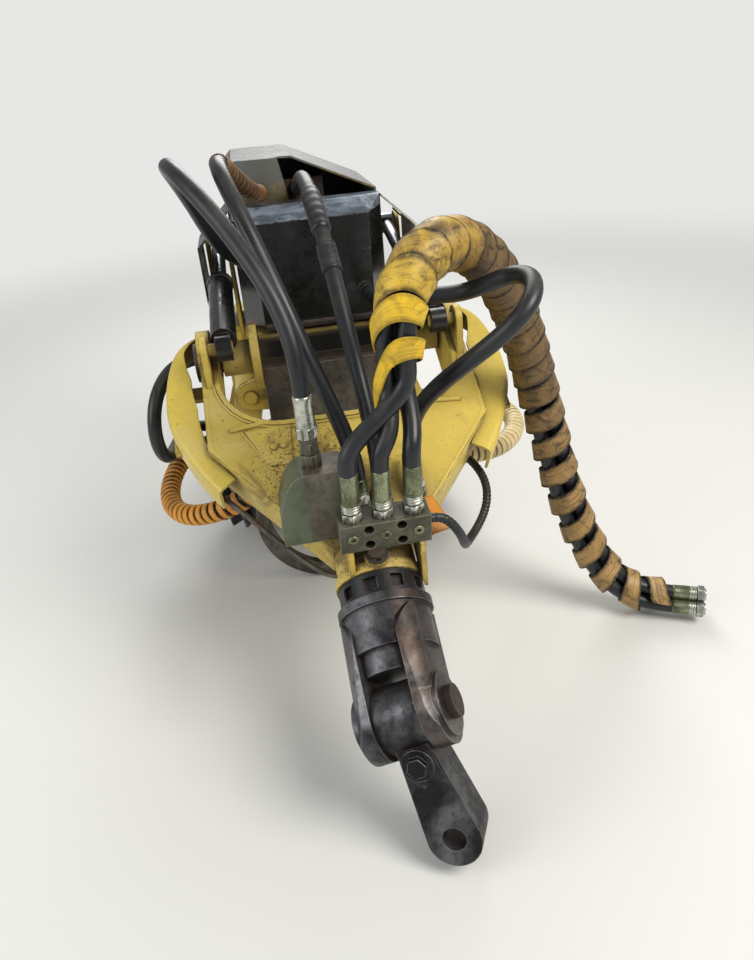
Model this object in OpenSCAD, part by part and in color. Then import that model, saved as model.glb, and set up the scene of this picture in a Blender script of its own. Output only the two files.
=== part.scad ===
// Harvester head with tilt yoke, rotator and hanger link, lying on its closed knives.
// X is the head's right, Y runs along the girder away from the rotator, Z is up.

/* [Stance] */
// Height of the tilt pivot above the ground
pivot_z = 800; // [790:5:815]
// Slope of the yoke toward the ground
yoke_slope = 30; // [26:1:32]
// Turn of the rotator about its own axis
rotator_turn = 28; // [0:1:40]
// Bend of the hanger link at the fork pin
link_bend = 35; // [0:1:38]

/* [Girder] */
// Half the width of the box girder
girder_half = 190; // [180:2:194]
// Height of the girder's underside
girder_z = 430; // [425:1:436]
// Depth of the girder
girder_depth = 350; // [340:2:356]
// Distance from the pivot to the girder's front end
girder_front = 20; // [18:1:26]
// Length of the girder
girder_len = 980; // [980:1:981]
// Thickness of the girder's plates
girder_wall = 14; // [8:1:20]

/* [Stem guides] */
// Height of the middle of the stem space
stem_z = 235; // [230:1:240]
// Radius of the stem space inside the closed knives
stem_r = 205; // [200:1:208]
// Thickness of the fixed top knife
top_knife = 26; // [20:1:28]

/* [Knives] */
// Outer radius of a knife's crescent
knife_r = 235; // [232:1:236]
// Thickness of a knife
knife_t = 38; // [30:1:38]
// Sideways place of the knife pivots
knife_hub_x = 244; // [242:1:247]
// Height of the knife pivots
knife_hub_z = 455; // [450:1:460]
// Radius of a knife's hub
knife_hub_r = 48; // [42:1:50]
// Radius of the knife pins
knife_pin_r = 20; // [14:1:24]
// Distance from the pivot to the front pair's lug
front_knives_y = 30; // [28:1:34]
// Distance from the pivot to the rear pair's lug
rear_knives_y = 762; // [755:1:768]
// Thickness of the lugs beside the knives
knife_lug = 18; // [12:1:20]
// Running gap between the pair's two knives
knife_gap = 8; // [6:1:9]

/* [Feed rollers] */
// Sideways place of the arms' pivots
arm_pivot_x = 246; // [244:1:250]
// Height of the arms' pivots
arm_pivot_z = 560; // [555:1:565]
// Distance from the tilt pivot to the rollers' axes
roller_y = 450; // [445:1:455]
// Sideways place of the rollers at half height
roller_x = 262; // [258:1:266]
// Height of the rollers' middle
roller_z = 215; // [212:1:220]
// Outward lean of the rollers
roller_lean = 10; // [6:1:11]
// Outer radius of a roller over its ribs
roller_r = 186; // [178:1:190]
// Radius of a roller's drum
drum_r = 150; // [130:1:160]
// Height of a roller
roller_h = 220; // [200:2:224]
// Ribs around a roller
roller_ribs = 18; // [12:1:24]
// Radius of the feed motors
feed_motor_r = 85; // [70:1:88]

/* [Measuring wheel] */
// Radius of the measuring wheel
wheel_r = 70; // [60:1:72]
// Teeth on the measuring wheel
wheel_teeth = 24; // [16:1:30]
// Distance from the tilt pivot to the wheel
wheel_y = 680; // [670:1:690]

/* [Saw] */
// Thickness of the saw box along the head
saw_box_t = 130; // [126:1:134]
// Half the width of the saw box
saw_box_half = 335; // [332:1:342]
// Height of the saw box
saw_box_h = 650; // [640:1:670]
// Thickness of the saw box's plates
saw_plate = 14; // [8:1:16]
// Distance from the saw box's side to the saw bar's pivot
bar_inset = 73; // [71:1:76]
// Distance from the saw box's top to the saw bar's pivot
bar_drop = 88; // [86:1:90]
// Room between the saw bar and the saw box's sides, both together
bar_room = 130; // [126:1:150]
// Radius of the saw motor
saw_motor_r = 60; // [50:1:62]

/* [Tilt yoke] */
// Half width between the yoke's arms
yoke_in = 300; // [298:1:304]
// Half width over the yoke's arms
yoke_out = 346; // [342:1:352]
// Depth of the yoke's box section
yoke_depth = 120; // [110:2:130]
// Thickness of the yoke's top and bottom plates
yoke_plate = 16; // [10:1:20]
// Thickness of the yoke's webs
yoke_web = 14; // [8:1:18]
// Depth of the round cut between the arms
cut_depth = 275; // [265:1:282]
// Distance along the yoke to its outer corners
shoulder_s = 330; // [320:1:345]
// Distance along the yoke to its neck
neck_s = 640; // [630:1:650]
// Radius of the yoke's neck
neck_r = 92; // [86:1:98]
// Radius of the pivot bosses
pivot_boss_r = 82; // [76:1:90]
// Radius of the tilt pivot pins
pivot_pin_r = 34; // [28:1:38]
// Radius of the girder's bosses for the pins
ear_boss_r = 46; // [42:1:48]

/* [Rotator] */
// Radius of the slotted ring
ring_r = 96; // [92:1:100]
// Height of the slotted ring
ring_h = 52; // [44:1:56]
// Window slots in the ring
ring_slots = 10; // [6:1:14]
// Distance from the ring to the fork pin
fork_len = 238; // [230:1:250]
// Length of the fork's root between its cheeks
fork_root = 160; // [150:2:170]
// Radius of the fork's cheeks round the pin
cheek_r = 80; // [76:1:84]
// Thickness of a fork cheek
cheek_t = 38; // [30:1:42]
// Radius of the fork pin
fork_pin_r = 24; // [18:1:28]

/* [Hanger link] */
// Distance between the link's two eyes
link_len = 256; // [240:1:258]
// Radius of the link's knuckle round the fork pin
knuckle_r = 70; // [66:1:74]
// Radius of the link's lower eye
link_eye_r = 58; // [52:1:60]
// Radius of the bore for the crane pin
crane_bore_r = 25; // [18:1:30]

/* [Tilt cylinders] */
// Sideways place of the tilt cylinders
cyl_x = 275; // [274:1:277]
// Radius of a cylinder barrel
barrel_r = 34; // [30:1:35]
// Radius of a piston rod
rod_r = 20; // [14:1:24]
// Distance from the tilt pivot to the yoke's cylinder eye
cyl_eye_d = 140; // [136:1:144]
// Direction from the tilt pivot to that eye, above the level line
cyl_eye_turn = 30; // [28:1:32]
// Distance from the tilt pivot to the rear bracket's eye
cyl_back_y = 560; // [560:1:561]
// Height of the rear bracket's eye above the pivot
cyl_back_z = 200; // [198:1:204]

/* [Covers] */
// Half width of the hood's front face
hood_face = 165; // [150:1:170]
// Half width of the hood behind
hood_half = 222; // [216:1:226]
// Height of the hood's top
hood_top = 1140; // [1130:5:1150]
// Height of the valve cover's high side
cover_top = 1250; // [1210:5:1270]

/* [Hoses] */
// Outer diameter of a pressure hose
hose_d = 38; // [32:1:42]
// Outer diameter of the wrapped bundle
bundle_d = 110; // [96:1:114]
// Outer diameter of the thin lines
thin_d = 24; // [18:1:28]

/* [Hidden] */

$fn = 48;
// The model's origin is under the middle of the head's length
mid_y = 33;
// Fit between a pin or shaft and its bore
fit = 0.3;
// Free gap beside moving plates
run = 1;
// Colours of the finishes
paint = "gold";
dark_paint = "goldenrod";
black = "#2b2b2d";
steel = "#8a8580";
rust = "#75584a";
rubber = "#1c1c1e";
zinc = "#9aa07e";
orange = "#e0961e";

girder_end = girder_front + girder_len;
knife_face = girder_front - top_knife - fit;
girder_top = girder_z + girder_depth;
ring_s = neck_s + 84;
fork_s = ring_s + ring_h;
pin_s = fork_s + fork_len;
cheek_out = 50 + cheek_t + 8;
roller_top = roller_h / 2 + 8;
saw_y = girder_end;
bar_x = saw_box_half - bar_inset;
bar_y = saw_y + saw_box_t / 2;
bar_z = saw_box_h - bar_drop;
bar_len = 2 * saw_box_half - bar_room;
knife_pair = 2 * knife_t + 3 * knife_gap;

// Outlines and placing

// A flat strap with round ends, from a with radius ra to b with radius rb
module strap(a, b, ra, rb) {
    d = b - a;
    len = norm(d);
    c = (ra - rb) / len;
    s = sqrt(1 - c * c);
    translate(a)
    rotate(atan2(d.y, d.x)) {
        circle(ra);
        translate([len, 0]) circle(rb);
        // Just inside the tangent points, so the sides cross the circles cleanly
        a1 = 0.9985 * ra;
        b1 = 0.9985 * rb;
        polygon([[a1 * c, a1 * s], [len + b1 * c, b1 * s], [len + b1 * c, -b1 * s], [a1 * c, -a1 * s]]);
    }
}

// Raises an outline in Y and Z from x0 to x1
module along_x(x0, x1) {
    translate([x0, 0, 0])
    rotate([90, 0, 90])
    linear_extrude(x1 - x0) children();
}

// Raises an outline in X and Z from y0 to y1
module along_y(y0, y1) {
    translate([0, y1, 0])
    rotate([90, 0, 0])
    linear_extrude(y1 - y0) children();
}

// A cylinder about X from x0 to x1
module rod_x(r, x0, x1, y = 0, z = 0) {
    translate([x0, y, z])
    rotate([0, 90, 0])
    cylinder(r = r, h = x1 - x0);
}

// A cylinder about Y from y0 to y1
module rod_y(r, y0, y1, x = 0, z = 0) {
    translate([x, y1, z])
    rotate([90, 0, 0])
    cylinder(r = r, h = y1 - y0);
}

// A box from its two corners
module block(a, b) {
    translate(a)
    cube(b - a);
}

module both_sides() {
    children();
    mirror([1, 0, 0]) children();
}

module on_side(side) {
    mirror([side < 0 ? 1 : 0, 0, 0]) children();
}

module at_home() {
    translate([0, -mid_y, 0]) children();
}

// The yoke's own frame: -Y runs from the tilt pivot toward the rotator
module in_yoke() {
    translate([0, 0, pivot_z])
    rotate([yoke_slope, 0, 0]) children();
}

module in_rotator() {
    in_yoke()
    rotate([0, -rotator_turn, 0]) children();
}

module in_link() {
    in_rotator()
    translate([0, -pin_s, 0])
    rotate([link_bend, 0, 0]) children();
}

// A roller's frame: Z is its axis, leaning outward at the top
module in_roller(side) {
    translate([side * roller_x, roller_y, roller_z])
    rotate([0, side * roller_lean, 0]) children();
}

// Sweeping a hose along a route

function unit(v) = v / norm(v);

// A point on the smooth curve that four points of a route draw toward themselves
function pulled(p0, p1, p2, p3, t) =
    ((1 - t) ^ 3 * p0 + (3 * t ^ 3 - 6 * t ^ 2 + 4) * p1
        + (-3 * t ^ 3 + 3 * t ^ 2 + 3 * t + 1) * p2 + t ^ 3 * p3) / 6;

// The curve along a route, from its first point to its last, with k steps in each span
function on_curve(p, k) =
    let (n = len(p) - 1, q = concat([2 * p[0] - p[1]], p, [2 * p[n] - p[n - 1]]))
    concat([for (i = [0 : n - 1], j = [0 : k - 1]) pulled(q[i], q[i + 1], q[i + 2], q[i + 3], j / k)],
        [p[n]]);

function tangent(p, i) = unit(p[min(i + 1, len(p) - 1)] - p[max(i - 1, 0)]);

// A side vector carried along the curve without twist
function carried(n, t) = unit(n - (n * t) * t);

function side_vectors(p, i = 0, n = [0, 0, 0]) =
    let (t = tangent(p, i), first = abs(t.x) < 0.9 ? [1, 0, 0] : [0, 1, 0], m = carried(i == 0
        ? first : n, t))
    i == len(p) - 1 ? [m] : concat([m], side_vectors(p, i + 1, m));

// A round tube of radius r along the curve through the route, k steps in each span
module tube(route, r, k = 3, sides = 10) {
    p = on_curve(route, k);
    u = side_vectors(p);
    last = len(p) - 1;
    points = [for (i = [0 : last]) let (t = tangent(p, i), v = cross(t, u[i]))
        for (a = [0 : sides - 1]) p[i] + r * (cos(360 * a / sides) * u[i] + sin(360 * a / sides) * v)];
    walls = [for (i = [0 : last - 1], a = [0 : sides - 1]) let (b = (a + 1) % sides)
        [i * sides + a, i * sides + b, (i + 1) * sides + b, (i + 1) * sides + a]];
    near = [for (a = [sides - 1 : -1 : 0]) a];
    far = [for (a = [0 : sides - 1]) last * sides + a];
    polyhedron(points, [for (w = concat([near], walls, [far])) [for (m = [len(w) - 1 : -1 : 0]) w[m]]]);
}

// Girder and what is fixed on it

module girder_outline(inset = 0) {
    translate([-girder_half + inset, girder_z + inset])
    square([2 * (girder_half - inset), girder_depth - 2 * inset]);
}

module main_frame() {
    color(paint)
    at_home() {
        difference() {
            along_y(girder_front, girder_end) girder_outline();
            along_y(girder_front + girder_wall, girder_end - girder_wall) girder_outline(girder_wall);
        }
        // Ears that carry the tilt pivot
        both_sides()
        difference() {
            union() {
                along_x(girder_half, girder_half + 24)
                strap([0, pivot_z], [190, pivot_z - 110], pivot_boss_r, 90);
                rod_x(ear_boss_r, girder_half, yoke_in - 8, 0, pivot_z);
            }
            rod_x(pivot_pin_r, girder_half - 1, yoke_in, 0, pivot_z);
        }
        // Lugs for the roller arms
        both_sides()
        for (y = arm_lugs_y())
            along_y(y, y + 20)
            difference() {
                strap([girder_half - 20, arm_pivot_z + 10], [arm_pivot_x, arm_pivot_z], 60, 46);
                translate([-200 + girder_half, 0]) square([200, 2000]);
            }
        both_sides()
        rod_y(arm_pin_r, arm_lugs_y()[0] - 8, arm_lugs_y()[1] + 28, arm_pivot_x, arm_pivot_z);
        // Deck under the covers
        block([-girder_half - 34, 200, girder_top], [girder_half + 34, 790, girder_top + 12]);
    }
}

arm_pin_r = 22;
function arm_lugs_y() = [roller_y - 146, roller_y + 136];

module knife_lug_pair(y0) {
    both_sides() {
        for (y = [y0, y0 + knife_lug + knife_pair])
            along_y(y, y + knife_lug)
            difference() {
                strap([girder_half - 24, knife_hub_z + 30], [knife_hub_x, knife_hub_z], 60, knife_hub_r);
                translate([girder_half - 200, 0]) square([200, 2000]);
            }
        rod_y(knife_pin_r, y0 - 6, y0 + 2 * knife_lug + knife_pair + 6, knife_hub_x, knife_hub_z);
    }
}

module knife_lugs() {
    color(dark_paint)
    at_home() {
        knife_lug_pair(front_knives_y);
        knife_lug_pair(rear_knives_y);
    }
}

module top_knife() {
    color(steel)
    at_home()
    difference() {
        along_y(girder_front - top_knife, girder_front)
        difference() {
            translate([-girder_half, stem_z + 150]) square([2 * girder_half, girder_top - stem_z - 170]);
            translate([0, stem_z]) circle(stem_r + 2);
        }
        translate([0, girder_front - 8, stem_z])
        rotate([90, 0, 0])
        cylinder(r1 = stem_r + 2, r2 = stem_r + 20, h = top_knife);
    }
}

// Place of the hood's front face along the head, and its lower edge
hood_y = 200;
hood_low = 816;

module hood() {
    color(black)
    at_home() {
        difference() {
            hull() {
                block([-hood_face, hood_y, hood_low], [hood_face, hood_y + 6, hood_top - 40]);
                block([-hood_face + 20, hood_y + 40, hood_low],
                    [hood_face - 20, hood_y + 50, hood_top]);
                block([-hood_half, 320, girder_top + 12], [hood_half, 340, hood_top - 10]);
            }
            hull() {
                block([-hood_face + 6, hood_y + 6, hood_low + 10],
                    [hood_face - 6, hood_y + 12, hood_top - 50]);
                block([-hood_half + 6, 322, girder_top + 12], [hood_half - 6, 341, hood_top - 18]);
            }
        }
        block([-hood_half, 340, girder_top + 12], [-hood_half + 6, 380, hood_top - 10]);
        block([hood_half - 6, 340, girder_top + 12], [hood_half, 380, hood_top - 10]);
        block([-hood_half, 340, hood_top - 16], [hood_half, 380, hood_top - 10]);
        // Sockets for two hoses
        rod_y(20, hood_y - 30, hood_y + 6, 140, 890);
        translate([16 - hood_half, hood_y + 50, 1000])
        rotate([0, 0, -39])
        rotate([123, 0, 180])
        cylinder(r = 20, h = 44);
        // Ledge and lower plate under the face
        block([-hood_face, hood_y - 8, hood_low - 14], [hood_face, 320, hood_low]);
        block([-hood_face + 20, hood_y + 6, girder_top + 12], [hood_face - 20, hood_y + 14, hood_low - 14]);
    }
}

module valve_cover() {
    color(steel)
    at_home() {
        difference() {
            along_y(380, 780)
            polygon([[-hood_half, girder_top + 12], [-hood_half, cover_top - 30],
                [-hood_half + 30, cover_top],
                [-20, cover_top], [hood_half, hood_top], [hood_half, girder_top + 12]]);
            along_y(378, 774)
            polygon([[-hood_half + 6, girder_top + 11], [-hood_half + 6, cover_top - 33],
                [-hood_half + 33, cover_top - 6],
                [-22, cover_top - 6], [hood_half - 6, hood_top - 4], [hood_half - 6, girder_top + 11]]);
        }
        // Front panel of the high side
        along_y(380, 386)
        polygon([[-hood_half, hood_top - 60], [-hood_half, cover_top - 30], [-hood_half + 30, cover_top],
            [-60, cover_top], [-30, hood_top - 60]]);
        rod_y(20, 352, 386, -124, hood_top + 28);
    }
}

// Valve block on the deck inside the cover, as high as the cover leaves room
valve_h = cover_top - girder_top - 82;
module valve_block() {
    color(rust)
    at_home()
    translate([0, 0, girder_top + 12 + fit]) {
        block([-110, 430, 0], [70, 560, valve_h]);
        rod_y(20, 396, 430, -12, valve_h - 22);
        for (x = [-80, 40], z = [0.33, 0.55, 0.77])
            rod_y(22, 412, 430, x, valve_h * z);
        for (y = [460, 530])
            translate([-70, y, valve_h]) cylinder(r = 24, h = 30, $fn = 6);
    }
}

// A bent plate over each tilt cylinder, from the hood's edge outward and down
wing_y = [300, 515];
wing_drop = 104;
wing_t = 6;
module cylinder_wing(side) {
    out = cyl_x + barrel_r + 9;
    on_side(side)
    along_y(wing_y[0], wing_y[1])
    polygon([[hood_half + fit, hood_top - 10], [hood_half + fit, hood_top - 10 - wing_t],
        [out, hood_top - wing_drop - wing_t / 2], [out, 890], [out + wing_t, 870],
        [out + wing_t, hood_top - wing_drop]]);
}

module wing_l() {
    color(black)
    at_home() cylinder_wing(-1);
}

module wing_r() {
    color("cornsilk")
    at_home() cylinder_wing(1);
}

module pivot_pins() {
    color(steel)
    at_home()
    both_sides() {
        rod_x(pivot_pin_r, girder_half + 4, yoke_out + 8, 0, pivot_z);
        rod_x(pivot_pin_r + 18, yoke_out + 4 + run, yoke_out + 16, 0, pivot_z);
    }
}

module wheel_bracket() {
    color(black)
    at_home()
    both_sides()
    along_x(20, 30)
    difference() {
        union() {
            strap([wheel_y, wheel_z()], [wheel_y + 70, girder_z - 30], 20, 30);
            translate([wheel_y + 30, girder_z - 30]) square([80, 30]);
        }
        translate([wheel_y - 200, girder_z]) square([400, 100]);
        translate([wheel_y, wheel_z()]) circle(10);
    }
}

function wheel_z() = girder_z - wheel_r - 6;

module measuring_wheel() {
    color(steel)
    at_home()
    translate([0, wheel_y, wheel_z()])
    rotate([0, 90, 0]) {
        difference() {
            translate([0, 0, -12]) cylinder(r = wheel_r - 8, h = 24);
            for (e = [-13, 5]) translate([0, 0, e]) cylinder(r = wheel_r - 20, h = 8);
        }
        translate([0, 0, -19]) cylinder(r = 24, h = 38);
        translate([0, 0, -32]) cylinder(r = 10 - fit, h = 64);
        for (i = [0 : wheel_teeth - 1])
            rotate(360 * i / wheel_teeth)
            translate([wheel_r - 12, 0, -6])
            linear_extrude(12) polygon([[0, -6], [12, -1.5], [12, 1.5], [0, 6]]);
    }
}

function box_outline(w) = [
    [saw_box_half - w, 0], [saw_box_half - w, saw_box_h - 66 - w * 0.4],
        [saw_box_half - 66 - w * 0.4, saw_box_h - w],
    [-saw_box_half + 66 + w * 0.4, saw_box_h - w], [-saw_box_half + w, saw_box_h - 66 - w * 0.4],
    [-saw_box_half + w, 0]];

module box_arch(r) {
    translate([0, stem_z]) circle(r, $fn = 96);
    translate([-r, -1]) square([2 * r, stem_z + 1]);
}

module saw_box() {
    color(paint)
    at_home()
    difference() {
        along_y(saw_y, saw_y + saw_box_t)
        difference() {
            polygon(box_outline(0));
            box_arch(saw_box_half - 48);
        }
        along_y(saw_y + saw_plate, saw_y + saw_box_t - saw_plate)
        difference() {
            polygon(box_outline(saw_plate));
            translate([0, -2]) square([2 * saw_box_half, 2], center = true);
        }
        rod_y(30, saw_y - 1, saw_y + saw_plate + 1, bar_x, bar_z);
    }
}

module saw_motor() {
    color(black)
    at_home() {
        rod_y(saw_motor_r, saw_y - 90, saw_y, bar_x, bar_z);
        rod_y(saw_motor_r - 14, saw_y - 104, saw_y - 90, bar_x, bar_z);
        rod_y(30, saw_y, saw_y + saw_plate + 4, bar_x, bar_z);
        rod_y(18, saw_y, bar_y + 22, bar_x, bar_z);
    }
}

module saw_bar() {
    color(steel)
    at_home()
    difference() {
        union() {
            along_y(bar_y - 3, bar_y + 3)
            strap([bar_x, bar_z], [bar_x - bar_len + 28, bar_z], 34, 28);
            along_y(bar_y - 6, bar_y + 6)
            difference() {
                strap([bar_x, bar_z], [bar_x - bar_len + 28, bar_z], 38, 32);
                strap([bar_x, bar_z], [bar_x - bar_len + 28, bar_z], 33, 27);
            }
            rod_y(30, bar_y - 24, bar_y + 14, bar_x, bar_z);
        }
        rod_y(18 + fit, bar_y - 30, bar_y + 30, bar_x, bar_z);
    }
}

// Knives

knife_mid = [50, 0];

module knife(side, y0, slot) {
    // The crescent is thick in its middle and thin at its tip
    inner_r = knife_r - 25;
    shift = [-17, 10];
    tip = -115;
    yk = y0 + knife_lug + knife_gap + slot * (knife_t + knife_gap);
    root = [knife_mid.x + (knife_r - 20) * cos(38), stem_z + (knife_r - 20) * sin(38)];
    on_side(side)
    difference() {
        union() {
            along_y(yk, yk + knife_t) {
                difference() {
                    translate([knife_mid.x, stem_z]) circle(knife_r, $fn = 96);
                    translate([knife_mid.x + shift.x, stem_z + shift.y]) circle(inner_r, $fn = 96);
                    // Cuts the ring open from the tip round to the root
                    translate([knife_mid.x, stem_z])
                    polygon([[0, 0], 400 * [cos(tip), sin(tip)], [-400, -400], [-400, 400],
                        400 * [cos(52), sin(52)]]);
                }
                strap(root, [knife_hub_x, knife_hub_z], 26, knife_hub_r - 3);
            }
            rod_y(knife_hub_r, y0 + knife_lug + fit, y0 + knife_lug + knife_pair - fit, knife_hub_x, knife_hub_z);
        }
        rod_y(knife_pin_r + fit, y0, y0 + 300, knife_hub_x, knife_hub_z);
        // Bevel of the cutting edge
        translate([knife_mid.x + shift.x, yk + 14, stem_z + shift.y])
        rotate([90, 0, 0])
        cylinder(r1 = inner_r - 1, r2 = inner_r + 14, h = 15, $fn = 96);
    }
}

module front_knife_l() {
    color(steel)
    at_home() knife(-1, front_knives_y, 0);
}

module front_knife_r() {
    color(steel)
    at_home() knife(1, front_knives_y, 1);
}

module rear_knife_l() {
    color(steel)
    at_home() knife(-1, rear_knives_y, 0);
}

module rear_knife_r() {
    color(steel)
    at_home() knife(1, rear_knives_y, 1);
}

// Feed

module feed_arm(side) {
    hub = [arm_pivot_x, arm_pivot_z];
    span = arm_lugs_y();
    difference() {
        union() {
            on_side(side) {
                rod_y(48, span[0] + 20 + fit, span[1] - fit, arm_pivot_x, arm_pivot_z);
                difference() {
                    for (y = [span[0] + 24, span[1] - 22])
                        along_y(y, y + 18)
                        strap(hub, [roller_x + 46, roller_z + roller_top + 30], 44, 52);
                    in_roller(1)
                    block([-300, -300, -300], [300, 300, roller_top + 8]);
                }
                in_roller(1)
                translate([0, 0, roller_top])
                linear_extrude(16)
                union() {
                    circle(feed_motor_r + 30);
                    translate([-20, span[0] + 27 - roller_y]) square([110, span[1] - span[0] - 34]);
                }
            }
        }
        rod_y(arm_pin_r + fit, 0, 1000, side * arm_pivot_x, arm_pivot_z);
        in_roller(side)
        translate([0, 0, roller_top - 1])
        cylinder(r = 52, h = 30);
    }
}

module feed_arm_l() {
    color(paint)
    at_home() feed_arm(-1);
}

module feed_arm_r() {
    color(paint)
    at_home() feed_arm(1);
}

module feed_motor(side) {
    in_roller(side) {
        translate([0, 0, roller_top + 16]) cylinder(r = feed_motor_r, h = 30);
        translate([0, 0, roller_top + 46]) cylinder(r = feed_motor_r - 14, h = 52);
        translate([0, 0, roller_top + 98]) cylinder(r = feed_motor_r - 30, h = 14);
        translate([0, 0, roller_top - 2]) cylinder(r = 52, h = 18);
        translate([0, 0, -60]) cylinder(r = 34, h = roller_top + 58);
    }
}

// Where a hose meets a feed motor, turned about it from straight outward and h away from it
function motor_port(side, turn, h) =
    let (up = roller_top + 78, out = (feed_motor_r - 14 + h) * cos(turn))
    [side * (roller_x + out * cos(roller_lean) + up * sin(roller_lean)),
        roller_y + (feed_motor_r - 14 + h) * sin(turn),
        roller_z - out * sin(roller_lean) + up * cos(roller_lean)];

module feed_motor_l() {
    color(black)
    at_home() feed_motor(-1);
}

module feed_motor_r() {
    color(black)
    at_home() feed_motor(1);
}

module feed_roller(side) {
    in_roller(side)
    difference() {
        union() {
            translate([0, 0, -roller_h / 2]) cylinder(r = drum_r, h = roller_h);
            for (i = [0 : roller_ribs - 1])
                rotate(360 * i / roller_ribs)
                translate([drum_r - 6, 0, -roller_h / 2])
                linear_extrude(roller_h) polygon([[0, -11], [roller_r - drum_r + 6, -4],
                    [roller_r - drum_r + 6, 4], [0, 11]]);
        }
        translate([0, 0, -62]) cylinder(r = 34 + fit, h = 200);
        translate([0, 0, roller_h / 2 - 50]) cylinder(r = drum_r - 24, h = 60);
        translate([0, 0, -roller_h / 2 - 1]) cylinder(r = drum_r - 24, h = 40);
    }
}

module feed_roller_l() {
    color(steel)
    at_home() feed_roller(-1);
}

module feed_roller_r() {
    color(steel)
    at_home() feed_roller(1);
}

// Tilt yoke and what it carries, drawn in the yoke's frame

module yoke_cut(grow) {
    round_r = 150;
    side = yoke_in + grow;
    mirror([0, 1]) {
        translate([-side, -200]) square([2 * side, 200 + cut_depth - round_r]);
        for (m = [-1, 1]) translate([m * (yoke_in - round_r),
            cut_depth - round_r]) circle(round_r + grow);
        translate([-yoke_in + round_r, 0]) square([2 * (yoke_in - round_r), cut_depth + grow]);
    }
}

module yoke_outline(inset = 0) {
    polygon([[yoke_out - inset, 0], [yoke_out - inset, -shoulder_s + inset * 0.4],
        [neck_r - inset, -neck_s], [-neck_r + inset, -neck_s],
        [-yoke_out + inset, -shoulder_s + inset * 0.4],
        [-yoke_out + inset, 0]]);
}

module tilt_yoke() {
    half = yoke_depth / 2;
    color(paint)
    at_home()
    in_yoke()
    difference() {
        union() {
            // Top and bottom plates
            for (z = [-half, half - yoke_plate])
                translate([0, 0, z])
                linear_extrude(yoke_plate)
                difference() {
                    yoke_outline();
                    yoke_cut(0);
                }
            // Outer webs
            translate([0, 0, -half])
            linear_extrude(yoke_depth)
            difference() {
                yoke_outline();
                yoke_outline(yoke_web);
                yoke_cut(0);
            }
            // Flange round the cut
            translate([0, 0, -half - 6])
            linear_extrude(yoke_depth + 12)
            difference() {
                intersection() {
                    yoke_cut(yoke_web);
                    yoke_outline();
                }
                yoke_cut(0);
            }
            // Neck and the rotator's flange
            rod_y(neck_r, -neck_s - 66, -neck_s + 60);
            rod_y(ring_r + 4, -ring_s, -ring_s + 24);
            // Boss with its bolt on the neck
            translate([-4, -ring_s + 31, 0]) {
                cylinder(r = 28, h = neck_r + 18);
                cylinder(r = 20, h = neck_r + 28, $fn = 6);
            }
            // Pivot bosses
            both_sides() {
                rod_x(pivot_boss_r, yoke_in + 16, yoke_out + 4);
                rod_x(ear_boss_r, yoke_in - 3, yoke_out);
            }
            // Lugs for the tilt cylinders
            both_sides()
            along_x(yoke_in + 16, yoke_in + 34)
            strap([-90, 30], cyl_eye_yz(), 60, 34);
            both_sides()
            rod_x(16, cyl_x - 22, yoke_in + 20, cyl_eye_yz().x, cyl_eye_yz().y);
        }
        both_sides() rod_x(pivot_pin_r + fit, yoke_in - 10, yoke_out + 10, 0, 0);
    }
}

// Place of the cylinder's eye in the yoke's frame, as Y and Z
function cyl_eye_yz() = cyl_eye_d * [-cos(cyl_eye_turn + yoke_slope), sin(cyl_eye_turn + yoke_slope)];
// The same in the head's frame
function cyl_eye() = [-cyl_eye_d * cos(cyl_eye_turn), pivot_z + cyl_eye_d * sin(cyl_eye_turn)];
function cyl_back() = [cyl_back_y, pivot_z + cyl_back_z];

// A bent strap of sheet outside each arm
module side_guard(side) {
    on_side(side)
    difference() {
        union() {
            translate([0, 0, -40])
            linear_extrude(80)
            difference() {
                polygon([[yoke_out + 10, 60], [yoke_out + 62, 20], [yoke_out + 96, -120],
                    [yoke_out + 96, -200],
                    [yoke_out + 36, -330], [yoke_out - 10, -400], [yoke_out - 30, -372]]);
                polygon([[yoke_out + 4, 52], [yoke_out + 56, 14], [yoke_out + 88, -121],
                    [yoke_out + 88, -198],
                    [yoke_out + 29, -326], [yoke_out - 16, -396], [yoke_out - 130, -372]]);
            }
            translate([0, 0, 30])
            linear_extrude(10)
            difference() {
                polygon([[yoke_out + 10, 60], [yoke_out + 62, 20], [yoke_out + 96, -120],
                    [yoke_out + 96, -200],
                    [yoke_out + 36, -330], [yoke_out - 10, -400], [yoke_out - 30, -372]]);
                polygon([[yoke_out + 10, 30], [yoke_out + 30, -120], [yoke_out + 30, -200],
                    [yoke_out - 20, -330]]);
            }
            for (y = [-100, -260])
                block([yoke_out, y - 20, -20], [yoke_out + 89, y + 20, -4]);
        }
        yoke_space();
    }
}

// The room that the yoke's arms and bosses take
module yoke_space() {
    translate([0, 0, -100])
    linear_extrude(200) yoke_outline();
    rod_x(pivot_boss_r + 1, 0, yoke_out + 26);
}

module side_guard_l() {
    color(paint)
    at_home()
    in_yoke() side_guard(-1);
}

module side_guard_r() {
    color(paint)
    at_home()
    in_yoke() side_guard(1);
}

// The hose block's own frame, standing nearly upright on the neck
block_s = 650;
block_t = 150;
block_x = 18;
block_w = 196;
block_d = 62;
block_h = 70;
module in_block() {
    in_yoke()
    translate([block_x, -block_s, block_t])
    rotate([-22, 0, 0]) children();
}

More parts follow.
